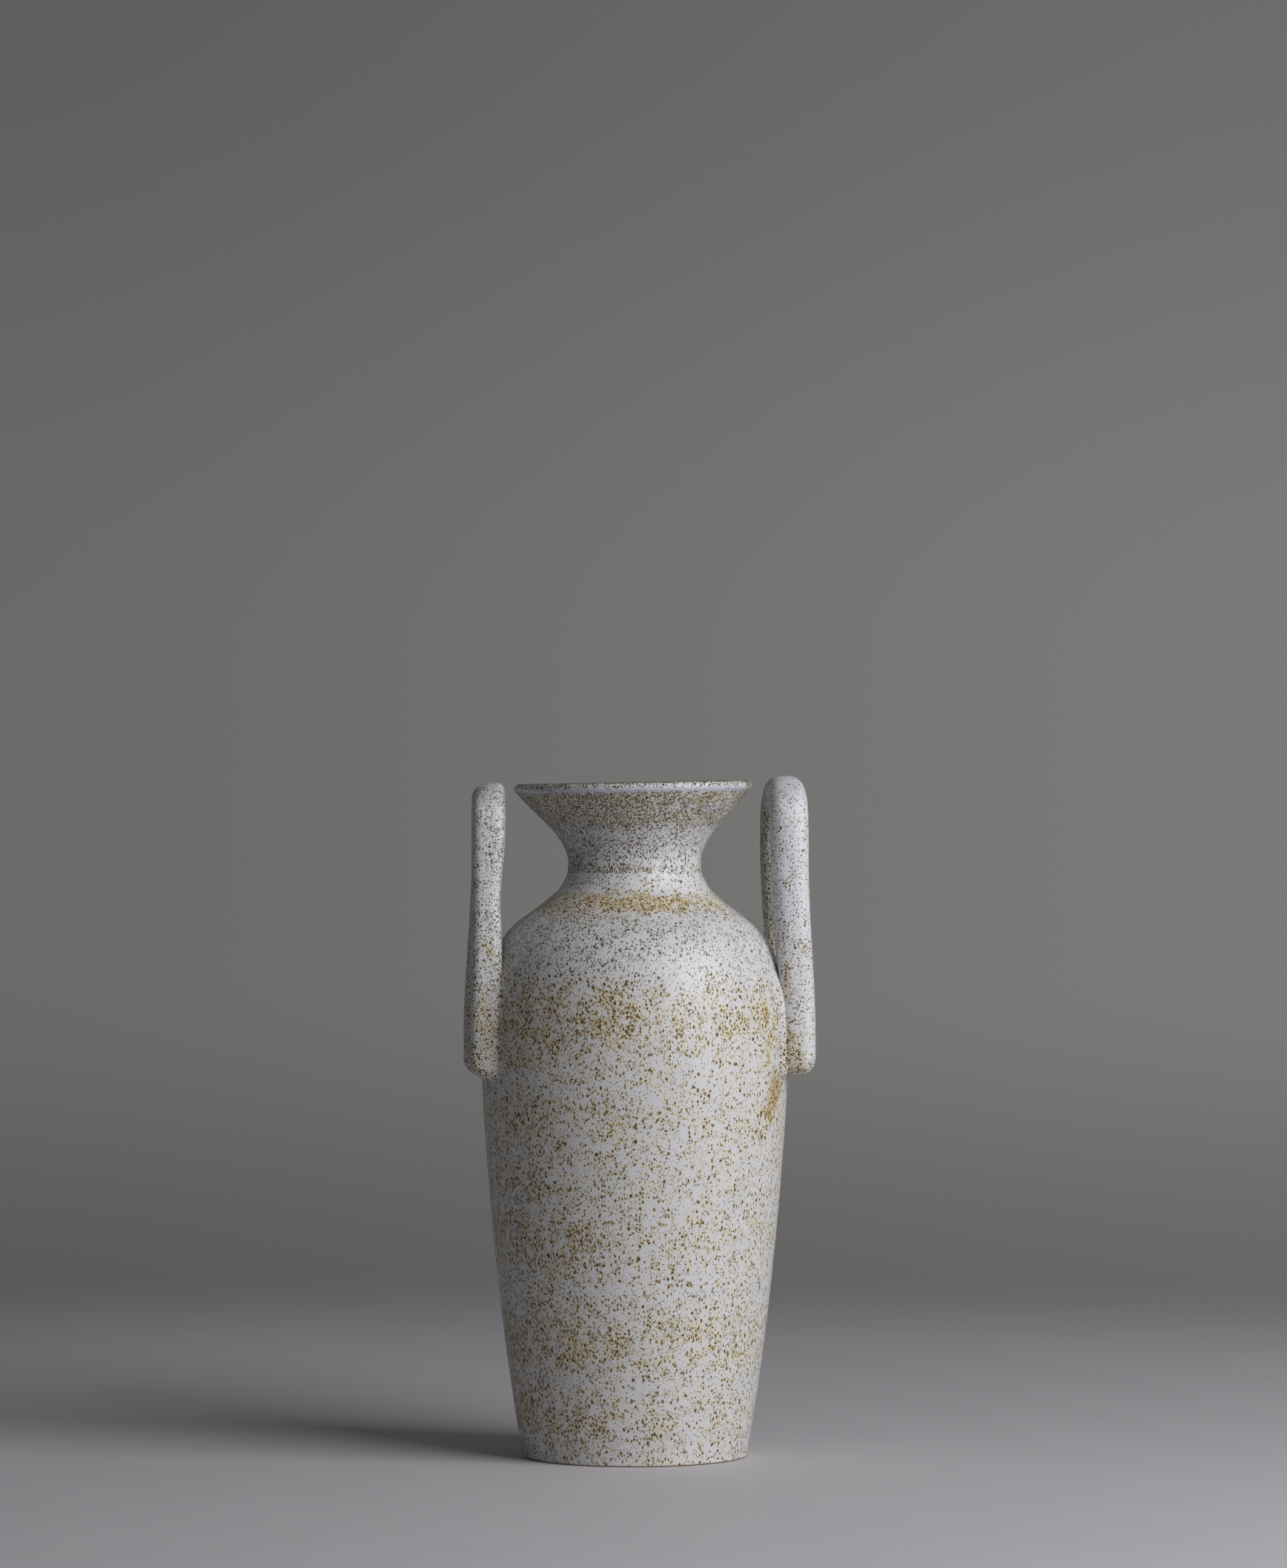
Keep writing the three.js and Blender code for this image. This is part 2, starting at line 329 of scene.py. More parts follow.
class GrowingTree:
    """A Geometry Nodes tree with named inputs that turns a line of points into a closed piece."""

    def __init__(self, name: str, inputs: dict[str, str]) -> None:
        """Starts the tree with its inputs and its output.

        Args:
            name: The tree's name.
            inputs: The name and the socket type of each input after the line itself.
        """
        self.tree = bpy.data.node_groups.new(name, "GeometryNodeTree")
        self.tree.is_modifier = True
        self.wires = Wires(self.tree)
        face = self.tree.interface
        face.new_socket(name="Line", in_out="INPUT", socket_type="NodeSocketGeometry")
        face.new_socket(name="Piece", in_out="OUTPUT", socket_type="NodeSocketGeometry")
        self.identifiers = {}
        for label, kind in inputs.items():
            socket = face.new_socket(name=label, in_out="INPUT", socket_type=kind)
            self.identifiers[label] = socket.identifier
        self.given = self.wires.node("NodeGroupInput").outputs

    def table(self, columns: object) -> tuple[Socket, ...]:
        """Makes a grid with one row for each point of the line.

        Args:
            columns: How many steps each row has.

        Returns:
            The grid, and each point's row and share of the way along its row.
        """
        w = self.wires
        size = w.node("GeometryNodeAttributeDomainSize", component="MESH")
        w.feed(size.inputs["Geometry"], self.given["Line"])
        across = w.plus(columns, 1.0)
        grid = w.node("GeometryNodeMeshGrid")
        w.feed(grid.inputs["Vertices X"], size.outputs["Point Count"])
        w.feed(grid.inputs["Vertices Y"], across)
        index = w.node("GeometryNodeInputIndex").outputs[0]
        row = w.math("FLOOR", w.math("DIVIDE", w.plus(index, 0.5), across))
        column = w.math("SUBTRACT", index, w.times(row, across))
        return grid.outputs["Mesh"], row, w.math("DIVIDE", column, columns)

    def read(self, row: object, attribute: str = "", kind: str = "FLOAT_VECTOR") -> Socket:
        """Reads the line's point for a row.

        Args:
            row: The row's number.
            attribute: What to read there, or nothing for its place.
            kind: The attribute's type.

        Returns:
            The value at that point.
        """
        w = self.wires
        if attribute:
            source = w.node("GeometryNodeInputNamedAttribute", data_type=kind)
            source.inputs["Name"].default_value = attribute
        else:
            source = w.node("GeometryNodeInputPosition")
        sample = w.node("GeometryNodeSampleIndex", data_type=kind, domain="POINT")
        w.feed(sample.inputs["Geometry"], self.given["Line"])
        w.feed(sample.inputs["Value"], source.outputs[0])
        w.feed(sample.inputs["Index"], row)
        return sample.outputs[0]

    def close(self, grid: object, place: object, finish: object) -> None:
        """Puts the grid's points in place, welds its seams and poles, and dresses it.

        Args:
            grid: The grid.
            place: Where each of its points goes.
            finish: The material.
        """
        w = self.wires
        steps = (
            ("GeometryNodeSetPosition", {"Position": place}),
            ("GeometryNodeMergeByDistance", {"Distance": WELD}),
            ("GeometryNodeFlipFaces", {}),
            ("GeometryNodeSetShadeSmooth", {}),
            ("GeometryNodeRealizeInstances", {}),
            ("GeometryNodeSetMaterial", {"Material": finish}),
            ("NodeGroupOutput", {}),
        )
        for kind, values in steps:
            made = w.node(kind)
            w.feed(made.inputs[0], grid)
            for name, value in values.items():
                w.feed(made.inputs[name], value)
            grid = made.outputs[0] if made.outputs else None

    def grow(self, name: str, line: "Line", values: dict[str, object]) -> bpy.types.Object:
        """Runs the tree on a line and keeps the result as a plain mesh.

        Args:
            name: The new piece's name.
            line: The line of points.
            values: A value for each named input.

        Returns:
            The piece, with no modifier.
        """
        piece = bpy.data.objects.new(name, line.mesh(f"{name}_line"))
        bpy.context.scene.collection.objects.link(piece)
        modifier = piece.modifiers.new("grow", "NODES")
        modifier.node_group = self.tree
        for label, value in values.items():
            modifier[self.identifiers[label]] = value
        graph = bpy.context.evaluated_depsgraph_get()
        made = bpy.data.meshes.new_from_object(piece.evaluated_get(graph))
        piece.modifiers.clear()
        piece.data = made
        made.name = name
        return piece


@dataclass
class Line:
    """A line of points, in metres, with numbers or directions kept at each of them."""

    points: np.ndarray
    numbers: dict[str, np.ndarray] = field(default_factory=dict)
    directions: dict[str, np.ndarray] = field(default_factory=dict)

    def mesh(self, name: str) -> bpy.types.Mesh:
        """Makes a mesh of loose points for a tree to read.

        Args:
            name: The mesh's name.

        Returns:
            The mesh.
        """
        made = bpy.data.meshes.new(name)
        made.from_pydata([tuple(p) for p in self.points], [], [])
        for label, values in self.numbers.items():
            held = made.attributes.new(label, "FLOAT", "POINT")
            held.data.foreach_set("value", np.asarray(values, np.float32))
        for label, values in self.directions.items():
            held = made.attributes.new(label, "FLOAT_VECTOR", "POINT")
            held.data.foreach_set("vector", np.asarray(values, np.float32).ravel())
        return made


def turning_tree() -> GrowingTree:
    """Builds the tree that turns a line of radii and heights about the vase's axis.

    Returns:
        The tree. Its ripple is a spiral left by the fingers, only ever cut inwards.
    """
    made = GrowingTree(
        "turned_on_the_wheel",
        {
            "Columns": "NodeSocketInt",
            "Ripple Depth": "NodeSocketFloat",
            "Ripple Pitch": "NodeSocketFloat",
            "Unevenness": "NodeSocketFloat",
            "Mouth Lean": "NodeSocketFloat",
            "Lean Start": "NodeSocketFloat",
            "Lean End": "NodeSocketFloat",
            "Seed": "NodeSocketFloat",
            "Finish": "NodeSocketMaterial",
        },
    )
    w, given = made.wires, made.given
    grid, row, share = made.table(given["Columns"])
    radius, _, height = w.split(made.read(row))
    angle = w.times(share, TAU)
    round_place = w.joined(w.math("COSINE", angle), w.math("SINE", angle), 0.0)

    # The spiral ripple fades in and out, and the wall is pressed in a little here and there
    winds = w.times(w.math("DIVIDE", height, given["Ripple Pitch"]), TAU)
    wave = w.math("COSINE", w.plus(winds, angle))
    wave = w.math("MULTIPLY_ADD", wave, 0.5, 0.5)
    here = w.vector("ADD", w.scaled(round_place, radius), w.joined(given["Seed"], 0.0, height))
    strength = w.noise(here, FINGER_PATCH, 1.0)
    cut = w.times(w.times(wave, strength), given["Ripple Depth"])
    cut = w.times(cut, made.read(row, "fingers", "FLOAT"))
    press = w.times(w.noise(here, WALL_PATCH, 0.0), given["Unevenness"])
    press = w.times(press, made.read(row, "free", "FLOAT"))
    held = w.math("SUBTRACT", radius, w.plus(cut, press))

    # The mouth leans: its places and heights change smoothly from the joint to the lip
    x, y, _ = w.split(w.scaled(round_place, held))
    rise = w.step(height, given["Lean Start"], given["Lean End"])
    lean = w.times(rise, given["Mouth Lean"])
    above = w.math("SUBTRACT", height, given["Lean Start"])
    leaned_x = w.math("SUBTRACT", x, w.times(lean, above))
    leaned_z = w.plus(height, w.times(lean, x))
    made.close(grid, w.joined(leaned_x, y, leaned_z), given["Finish"])
    return made


def coiling_tree() -> GrowingTree:
    """Builds the tree that lays a coil of clay along a line.

    Returns:
        The tree. The line holds the coil's direction and its half sizes at each point.
    """
    made = GrowingTree(
        "coiled_by_hand",
        {
            "Sides": "NodeSocketInt",
            "Squareness": "NodeSocketFloat",
            "Hand Press": "NodeSocketFloat",
            "Seed": "NodeSocketFloat",
            "Finish": "NodeSocketMaterial",
        },
    )
    w, given = made.wires, made.given
    grid, row, share = made.table(given["Sides"])
    centre = made.read(row)
    along = made.read(row, "along")
    across = w.vector("NORMALIZE", w.vector("CROSS_PRODUCT", along, (1.0, 0.0, 0.0)))
    out = w.vector("CROSS_PRODUCT", across, along)
    angle = w.times(share, TAU)
    bend = w.math("DIVIDE", 2.0, given["Squareness"])

    def squared(turn: Socket) -> Socket:
        """Bends a sine or cosine towards a square section."""
        return w.times(w.math("SIGN", turn), w.math("POWER", w.math("ABSOLUTE", turn), bend))

    thick = w.times(squared(w.math("COSINE", angle)), made.read(row, "half_out", "FLOAT"))
    wide = w.times(squared(w.math("SINE", angle)), made.read(row, "half_across", "FLOAT"))
    offset = w.vector("ADD", w.scaled(out, thick), w.scaled(across, wide))

    # Fingers pressed the coil in a little, never out
    spot = w.vector("ADD", w.vector("ADD", centre, offset), w.joined(given["Seed"], 0.0, 0.0))
    press = w.times(w.noise(spot, COIL_PATCH, 1.0), given["Hand Press"])
    firm = w.math("SUBTRACT", 1.0, press)
    made.close(grid, w.vector("ADD", centre, w.scaled(offset, firm)), given["Finish"])
    return made


@dataclass(frozen=True)
class VaseOutline:
    """The outside line of the thrown vase, in millimetres and degrees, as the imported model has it."""

    belly_height: float = 204.0
    shoulder_rise: float = 83.5
    waist_rise: float = 20.5
    flare_rise: float = 36.0
    lip_band: float = 6.0
    foot_radius: float = 58.4
    belly_radius: float = 79.7
    shoulder_radius: float = 47.4
    waist_radius: float = 34.6
    mouth_radius: float = 61.8
    wall_lean: float = 10.5
    shoulder_slope: float = 50.3
    flare_slope: float = 34.4
    foot_edge: float = 1.6
    lip_overhang: float = 1.0
    joint_below_waist: float = 10.0
    joint_width: float = 1.8
    mouth_tilt: float = 1.05
    fineness: int = 220

    @property
    def shoulder_height(self) -> float:
        """The height of the shoulder's steepest place."""
        return self.belly_height + self.shoulder_rise

    @property
    def waist_height(self) -> float:
        """The height of the neck's narrowest place."""
        return self.shoulder_height + self.waist_rise

    @property
    def lip_height(self) -> float:
        """The height of the lip's underside."""
        return self.waist_height + self.flare_rise

    @property
    def height(self) -> float:
        """The height of the lip's top, before the mouth leans."""
        return self.lip_height + self.lip_band

    @property
    def joint_height(self) -> float:
        """The height of the lute between the body and the neck."""
        return self.waist_height - self.joint_below_waist

    def stretch(self, start: tuple, leave: tuple, end: tuple, arrive: tuple) -> np.ndarray:
        """Draws one smooth stretch of the line.

        Args:
            start: Its first radius and height.
            leave: The slope there in degrees from upright, and the pull as a share of the rise.
            end: Its last radius and height.
            arrive: The slope and the pull there.

        Returns:
            The stretch's points after the first.
        """
        first, last = np.array(start), np.array(end)
        rise = last[1] - first[1]
        directions = []
        for slope, pull in (leave, arrive):
            turn = math.radians(slope)
            directions.append(np.array([math.sin(turn), math.cos(turn)]) * pull * rise)
        second, third = first + directions[0], last - directions[1]
        t = np.linspace(0.0, 1.0, self.fineness + 1)[1:, None]
        s = 1.0 - t
        return s**3 * first + 3 * s**2 * t * second + 3 * s * t**2 * third + t**3 * last

    def outside(self) -> np.ndarray:
        """Draws the whole outside, from the foot's edge to the underside of the lip.

        Returns:
            Radii and heights, from the bottom up.
        """
        foot = (self.foot_radius, self.foot_edge)
        belly = (self.belly_radius, self.belly_height)
        shoulder = (self.shoulder_radius, self.shoulder_height)
        waist = (self.waist_radius, self.waist_height)
        lip = (self.mouth_radius - self.lip_overhang, self.lip_height)
        slope = -self.shoulder_slope
        return np.vstack(
            [
                foot,
                self.stretch(foot, (self.wall_lean, 0.385), belly, (0.0, 0.1)),
                self.stretch(belly, (0.0, 0.85), shoulder, (slope, 0.25)),
                self.stretch(shoulder, (slope, 0.43), waist, (0.0, 0.57)),
                self.stretch(waist, (0.0, 0.42), lip, (self.flare_slope, 0.21)),
            ]
        )

    def radius(self, height: np.ndarray | float) -> np.ndarray:
        """Reads the outside radius at one height or several."""
        line = self.outside()
        return np.interp(height, line[:, 1], line[:, 0])


def moved_in(line: np.ndarray, wall: float) -> np.ndarray:
    """Moves a line square to itself, towards the axis.

    Args:
        line: Radii and heights.
        wall: How far.

    Returns:
        The moved line.
    """
    along = np.gradient(line, axis=0)
    along /= np.linalg.norm(along, axis=1, keepdims=True)
    return line + np.column_stack([-along[:, 1], along[:, 0]]) * wall


def between(line: np.ndarray, low: float, high: float) -> np.ndarray:
    """Cuts the part of a rising line between two heights.

    Args:
        line: Radii and heights.
        low: The lower height.
        high: The upper height.

    Returns:
        The part, with a point at each of the two heights.
    """
    inside = line[(line[:, 1] > low) & (line[:, 1] < high)]
    ends = np.interp([low, high], line[:, 1], line[:, 0])
    return np.vstack([(ends[0], low), inside, (ends[1], high)])


def corner(start: tuple, at: tuple, end: tuple, steps: int = 8) -> np.ndarray:
    """Draws a round corner from start to end that bulges towards a point, both ends included."""
    t = np.linspace(0.0, 1.0, steps + 1)[:, None]
    return (1 - t) ** 2 * np.array(start) + 2 * t * (1 - t) * np.array(at) + t**2 * np.array(end)


def evenly(line: np.ndarray, spacing: float) -> np.ndarray:
    """Spaces a line's points evenly along it.

    Args:
        line: Its points.
        spacing: About how far apart they should be.

    Returns:
        The new points, both ends included.
    """
    steps = np.linalg.norm(np.diff(line, axis=0), axis=1)
    way = np.concatenate([[0.0], np.cumsum(steps)])
    count = max(2, round(way[-1] / spacing) + 1)
    wanted = np.linspace(0.0, way[-1], count)
    return np.column_stack([np.interp(wanted, way, line[:, axis]) for axis in range(line.shape[1])])


def thrown(tree: GrowingTree, name: str, line: Line, finish: bpy.types.Material, **values: float) -> object:
    """Runs the turning tree, with no ripple, unevenness or lean where none is given.

    Args:
        tree: The turning tree.
        name: The new piece's name.
        line: Its closed outline.
        finish: Its glaze.
        **values: The tree's inputs, with underscores for spaces.

    Returns:
        The piece.
    """
    inputs = {
        "Ripple Depth": 0.0,
        "Ripple Pitch": 1.0,
        "Unevenness": 0.0,
        "Mouth Lean": 0.0,
        "Lean Start": 0.0,
        "Lean End": 1.0,
        "Seed": 0.0,
        "Finish": finish,
    }
    inputs.update({label.replace("_", " ").title(): value for label, value in values.items()})
    return tree.grow(name, line, inputs)


@dataclass(frozen=True)
class ThrowingLine:
    """A shallow ring that the rib or sponge left in the wall."""

    height: float
    depth: float
    width: float


@dataclass
class Profile:
    """A closed outline in the making, with how free each part is to be uneven."""

    parts: list[np.ndarray] = field(default_factory=list)
    fingers: list[np.ndarray] = field(default_factory=list)
    free: list[np.ndarray] = field(default_factory=list)

    def add(self, points: np.ndarray, fingers: float = 0.0, free: float = 0.0) -> "Profile":
        """Adds a part, whose first point is left out when it repeats the last one.

        Args:
            points: Radii and heights.
            fingers: How strongly the spiral ripple shows on it.
            free: How strongly its unevenness shows.

        Returns:
            This outline.
        """
        repeats = bool(self.parts) and np.allclose(self.parts[-1][-1], points[0], atol=1e-6)
        kept = points[1:] if repeats else points
        self.parts.append(kept)
        self.fingers.append(np.full(len(kept), fingers))
        self.free.append(np.full(len(kept), free))
        return self

    def line(self) -> Line:
        """Turns the outline into a line that the turning tree reads."""
        flat = np.vstack(self.parts) * MM
        points = np.column_stack([flat[:, 0], np.zeros(len(flat)), flat[:, 1]])
        numbers = {"fingers": np.concatenate(self.fingers), "free": np.concatenate(self.free)}
        return Line(points, numbers)


def scored(line: np.ndarray, rings: tuple[ThrowingLine, ...]) -> np.ndarray:
    """Cuts shallow rings into an outside line.

    Args:
        line: Radii and heights.
        rings: The rings.

    Returns:
        The line with its radii lessened at each ring.
    """
    made = line.copy()
    for ring in rings:
        made[:, 0] -= ring.depth * np.exp(-(((line[:, 1] - ring.height) / ring.width) ** 2))
    return made


@dataclass
class ThrownBody:
    """The body: foot, floor, wall and shoulder, thrown in one piece and open at the top."""

    outline: VaseOutline
    wall: float = 6.5
    floor: float = 8.0
    floor_fillet: float = 8.0
    columns: int = 180
    outside_spacing: float = 1.4
    inside_spacing: float = 2.8
    ripple_depth: float = 0.9
    ripple_pitch: float = 9.0
    unevenness: float = 0.12
    seed: float = 0.31
    rings: tuple[ThrowingLine, ...] = (
        ThrowingLine(12.0, 0.10, 3.0),
        ThrowingLine(41.0, 0.09, 4.0),
        ThrowingLine(86.0, 0.08, 5.0),
        ThrowingLine(151.0, 0.08, 6.0),
        ThrowingLine(256.0, 0.10, 3.5),
        ThrowingLine(281.0, 0.14, 2.4),
    )

    def profile(self) -> Profile:
        """Draws the closed outline, from the middle of the underside round to the middle of the floor."""
        shape = self.outline
        top = shape.joint_height - shape.joint_width / 2
        outside = shape.outside()
        inside = moved_in(outside, self.wall)
        wall_start = self.floor + self.floor_fillet
        floor_radius = float(np.interp(self.floor, inside[:, 1], inside[:, 0]))
        edge = shape.foot_radius - shape.foot_edge
        under = np.array([(0.0, 0.0), (edge, 0.0)])
        foot = corner(under[1], (shape.foot_radius, 0.0), (shape.foot_radius, shape.foot_edge))
        outer = scored(evenly(between(outside, shape.foot_edge, top), self.outside_spacing), self.rings)
        outer[0] = foot[-1]
        inner = evenly(between(inside, wall_start, top), self.inside_spacing)[::-1]
        rim = evenly(np.array([outer[-1], inner[0]]), self.inside_spacing / 2)
        flat_start = (floor_radius - self.floor_fillet, self.floor)
        fillet = corner(inner[-1], (floor_radius, self.floor), flat_start)
        bottom = evenly(np.array([flat_start, (0.0, self.floor)]), 2 * self.inside_spacing)
        made = Profile()
        made.add(evenly(under, 2 * self.inside_spacing)).add(foot).add(outer, free=1.0).add(rim)
        return made.add(inner, fingers=1.0).add(fillet).add(bottom)

    def build(self, tree: GrowingTree, finish: bpy.types.Material) -> bpy.types.Object:
        """Turns the body with the turning tree, in its glaze."""
        return thrown(
            tree,
            "glazed_body",
            self.profile().line(),
            finish,
            columns=self.columns,
            ripple_depth=self.ripple_depth * MM,
            ripple_pitch=self.ripple_pitch * MM,
            unevenness=self.unevenness * MM,
            seed=self.seed,
        )


@dataclass
class ThrownNeck:
    """The neck: a narrow waist that flares to the mouth, with a rounded lip, leaning a little."""

    outline: VaseOutline
    wall: float = 5.2
    columns: int = 180
    outside_spacing: float = 0.7
    inside_spacing: float = 1.2
    ripple_depth: float = 0.5
    ripple_pitch: float = 6.5
    unevenness: float = 0.1
    seed: float = 0.62
    nose_round: float = 2.6
    nose_start: float = 38.0
    nose_steps: int = 24
    lip_steps: int = 14
    lip_spacing: float = 0.5
    shaved: float = 1.2
    shave_start: float = 330.0
    rings: tuple[ThrowingLine, ...] = (
        ThrowingLine(321.0, 0.06, 3.0),
        ThrowingLine(333.5, 0.10, 1.4),
        ThrowingLine(338.2, 0.14, 1.2),
    )

    def profile(self) -> Profile:
        """Draws the closed outline, up the outside, over the lip and down the inside."""
        shape = self.outline
        bottom = shape.joint_height + shape.joint_width / 2
        line = shape.outside()
        inside = moved_in(line, self.wall)
        inside_top = tuple(inside[-1])
        outer = scored(evenly(between(line, bottom, shape.lip_height), self.outside_spacing), self.rings)
        outer[:, 0] -= self.shaved * smoothstep(outer[:, 1], self.shave_start, shape.lip_height)
        nose = np.array([shape.mouth_radius - self.nose_round, shape.height - self.nose_round])
        turn = np.linspace(-math.radians(self.nose_start), math.pi / 2, self.nose_steps)
        rim = nose + self.nose_round * np.column_stack([np.cos(turn), np.sin(turn)])
        inner = evenly(between(inside, bottom, inside_top[1]), self.inside_spacing)[::-1]
        made = Profile()
        made.add(outer, free=1.0)
        made.add(evenly(np.array([outer[-1], rim[0]]), self.lip_spacing), free=1.0)
        made.add(rim, free=1.0)
        made.add(corner(tuple(rim[-1]), (inside_top[0], shape.height), inside_top, self.lip_steps))
        made.add(inner, fingers=1.0)
        return made.add(evenly(np.array([inner[-1], outer[0]]), self.inside_spacing))

    def build(self, tree: GrowingTree, finish: bpy.types.Material) -> bpy.types.Object:
        """Turns the neck with the turning tree, in its glaze."""
        shape = self.outline
        return thrown(
            tree,
            "glazed_neck",
            self.profile().line(),
            finish,
            columns=self.columns,
            ripple_depth=self.ripple_depth * MM,
            ripple_pitch=self.ripple_pitch * MM,
            unevenness=self.unevenness * MM,
            mouth_lean=math.tan(math.radians(shape.mouth_tilt)),
            lean_start=(shape.joint_height + shape.joint_width / 2) * MM,
            lean_end=shape.height * MM,
            seed=self.seed,
        )


@dataclass
class NeckLute:
    """The ring of slip that joins the neck to the body, smoothed to a soft ridge."""

    outline: VaseOutline
    wall: float = 5.2
    reach: float = 6.5
    proud: float = 0.45
    spread: float = 2.6
    sunk: float = 0.08
    columns: int = 180
    spacing: float = 0.6

    def profile(self) -> Profile:
        """Draws the ring's closed outline, as a thin band over the outside and the inside of the wall."""
        shape = self.outline
        middle = shape.joint_height
        line = shape.outside()
        outside = evenly(between(line, middle - self.reach, middle + self.reach), self.spacing)
        inside = moved_in(line, self.wall)
        inside = evenly(between(inside, middle - self.reach, middle + self.reach), self.spacing)
        for side, sign in ((outside, 1.0), (inside, -1.0)):
            ridge = np.exp(-(((side[:, 1] - middle) / self.spread) ** 2))
            side[:, 0] += sign * (self.proud * ridge - self.sunk)
        made = Profile()
        made.add(evenly(np.array([inside[0], outside[0]]), self.spacing)).add(outside)
        made.add(evenly(np.array([outside[-1], inside[-1]]), self.spacing))
        return made.add(inside[::-1])

    def build(self, tree: GrowingTree, finish: bpy.types.Material) -> bpy.types.Object:
        """Turns the ring with the turning tree, in its glaze."""
        return thrown(tree, "neck_lute", self.profile().line(), finish, columns=self.columns)


@dataclass(frozen=True)
class Swelling:
    """A stretch where a coil is thicker on its inner side, or thinner where the amount is below 0."""

    height: float
    amount: float
    spread: float


@dataclass
class ArchHandle:
    """A handle: an arched coil on two legs, with blunt feet pressed against the shoulder."""

    outline: VaseOutline
    side: Side
    thickness: float
    width: float
    rise: float
    foot_drop: float
    foot_round: float
    foot_rise: float
    foot_slant: float
    press: float
    mouth_clearance: float
    seed: float
    swellings: tuple[Swelling, ...] = ()
    twist: float = 0.0
    crown_fall: float = 0.0
    crown_reach: float = 16.0
    leg_spread: float = 22.5
    arch_squareness: float = 2.25
    coil_squareness: float = 2.4
    lean_end_above_belly: float = 14.0
    slant_reach: float = 20.0
    hand_press: float = 0.035
    sides: int = 56
    foot_steps: int = 16
    arch_steps: int = 400
    search_steps: int = 800
    end_rings: tuple[float, ...] = (0.0, 0.3, 0.6, 0.85)
    spacing: float = 1.1
    bite: float = 0.5
    seat: float = 1.0

    @property
    def name(self) -> str:
        """The name of the handle's node."""
        return f"{self.side.name.lower()}_handle"

    @property
    def foot(self) -> float:
        """The height of the feet."""
        return self.outline.belly_height - self.foot_drop

    @property
    def foot_reach(self) -> float:
        """How far the middle of the coil is from the axis at the feet, along X."""
        wall_at_leg = math.sqrt(self.outline.belly_radius**2 - self.leg_spread**2)
        return wall_at_leg + self.thickness / 2 - self.press

    def leaned(self, height: np.ndarray | float) -> np.ndarray:
        """Tells how far the legs have leaned out at a height, 0 at the shoulder and 1 above the waist."""
        low = self.outline.belly_height + self.lean_end_above_belly
        return smoothstep(height, low, self.outline.waist_height)

    def reach(self, height: np.ndarray | float) -> np.ndarray:
        """Tells how far the middle of the coil is from the axis, along X, at one height or several."""
        top = self.outline.mouth_radius + self.mouth_clearance + self.thickness / 2
        return self.foot_reach + (top - self.foot_reach) * self.leaned(height)

    def contact_top(self) -> float:
        """Finds the height at which a leg's inner face comes clear of the body."""
        heights = np.linspace(self.outline.belly_height, self.outline.joint_height, self.search_steps)
        face = np.hypot(self.reach(heights) - self.thickness / 2, self.leg_spread)
        clear = face > self.outline.radius(heights) + self.seat
        return float(heights[np.argmax(clear)])

    def middle_line(self) -> np.ndarray:
        """Draws the coil's middle as seen from the side, from the front foot over the arch to the other.

        Returns:
            Distances along Y and heights.
        """
        spring = self.foot + self.rise - self.width / 2 - self.leg_spread
        start = self.foot + self.foot_rise
        turn = np.linspace(0.0, math.pi, self.arch_steps)
        bend = 2.0 / self.arch_squareness
        across = -self.leg_spread * np.sign(np.cos(turn)) * np.abs(np.cos(turn)) ** bend
        up = self.leg_spread * np.abs(np.sin(turn)) ** bend
        arch = np.column_stack([across, spring + up])
        line = np.vstack([(-self.leg_spread, start), arch, (self.leg_spread, start)])
        return evenly(line, self.spacing)

    def line(self) -> Line:
        """Puts the coil's middle in space, with its direction and half sizes at each point.

        Returns:
            The line, with the rings of the blunt feet at both ends.
        """
        flat = self.middle_line()
        swell = sum(s.amount * np.exp(-(((flat[:, 1] - s.height) / s.spread) ** 2)) for s in self.swellings)
        swell = np.zeros(len(flat)) + swell
        turned = -self.twist * self.leaned(flat[:, 1]) * flat[:, 0] / self.leg_spread
        run = np.column_stack([self.reach(flat[:, 1]) - swell / 2 + turned * self.side.value, flat])
        along = np.gradient(run, axis=0)
        along /= np.linalg.norm(along, axis=1, keepdims=True)
        half = np.array([self.thickness, self.width]) / 2
        girth = half[None, :] + np.column_stack([swell / 2, np.zeros(len(flat))])

        # Each foot rounds off from the leg to a flat end that closes in its middle
        turn = np.linspace(0.0, math.pi / 2, self.foot_steps)[:-1]
        flat_end = [1.0] * len(self.end_rings)
        drop = np.concatenate([flat_end, np.cos(turn)]) * self.foot_rise
        shrink = np.concatenate([flat_end, 1.0 - np.sin(turn)]) * self.foot_round
        keep = np.concatenate([self.end_rings, np.ones(len(turn))])
        feet = []
        for end, sign in ((run[0], 1.0), (run[-1], -1.0)):
            points = np.repeat(end[None, :], len(drop), axis=0)
            points[:, 2] -= drop
            feet.append((points, np.repeat([[0.0, 0.0, sign]], len(drop), axis=0)))
        foot_half = (girth[0] - shrink[:, None]) * keep[:, None]
        points = np.vstack([feet[0][0], run, feet[1][0][::-1]])
        directions = np.vstack([feet[0][1], along, feet[1][1][::-1]])
        halves = np.vstack([foot_half, girth, foot_half[::-1]])
        numbers = {"half_out": halves[:, 0] * MM, "half_across": halves[:, 1] * MM}
        return Line(points * MM, numbers, {"along": directions})

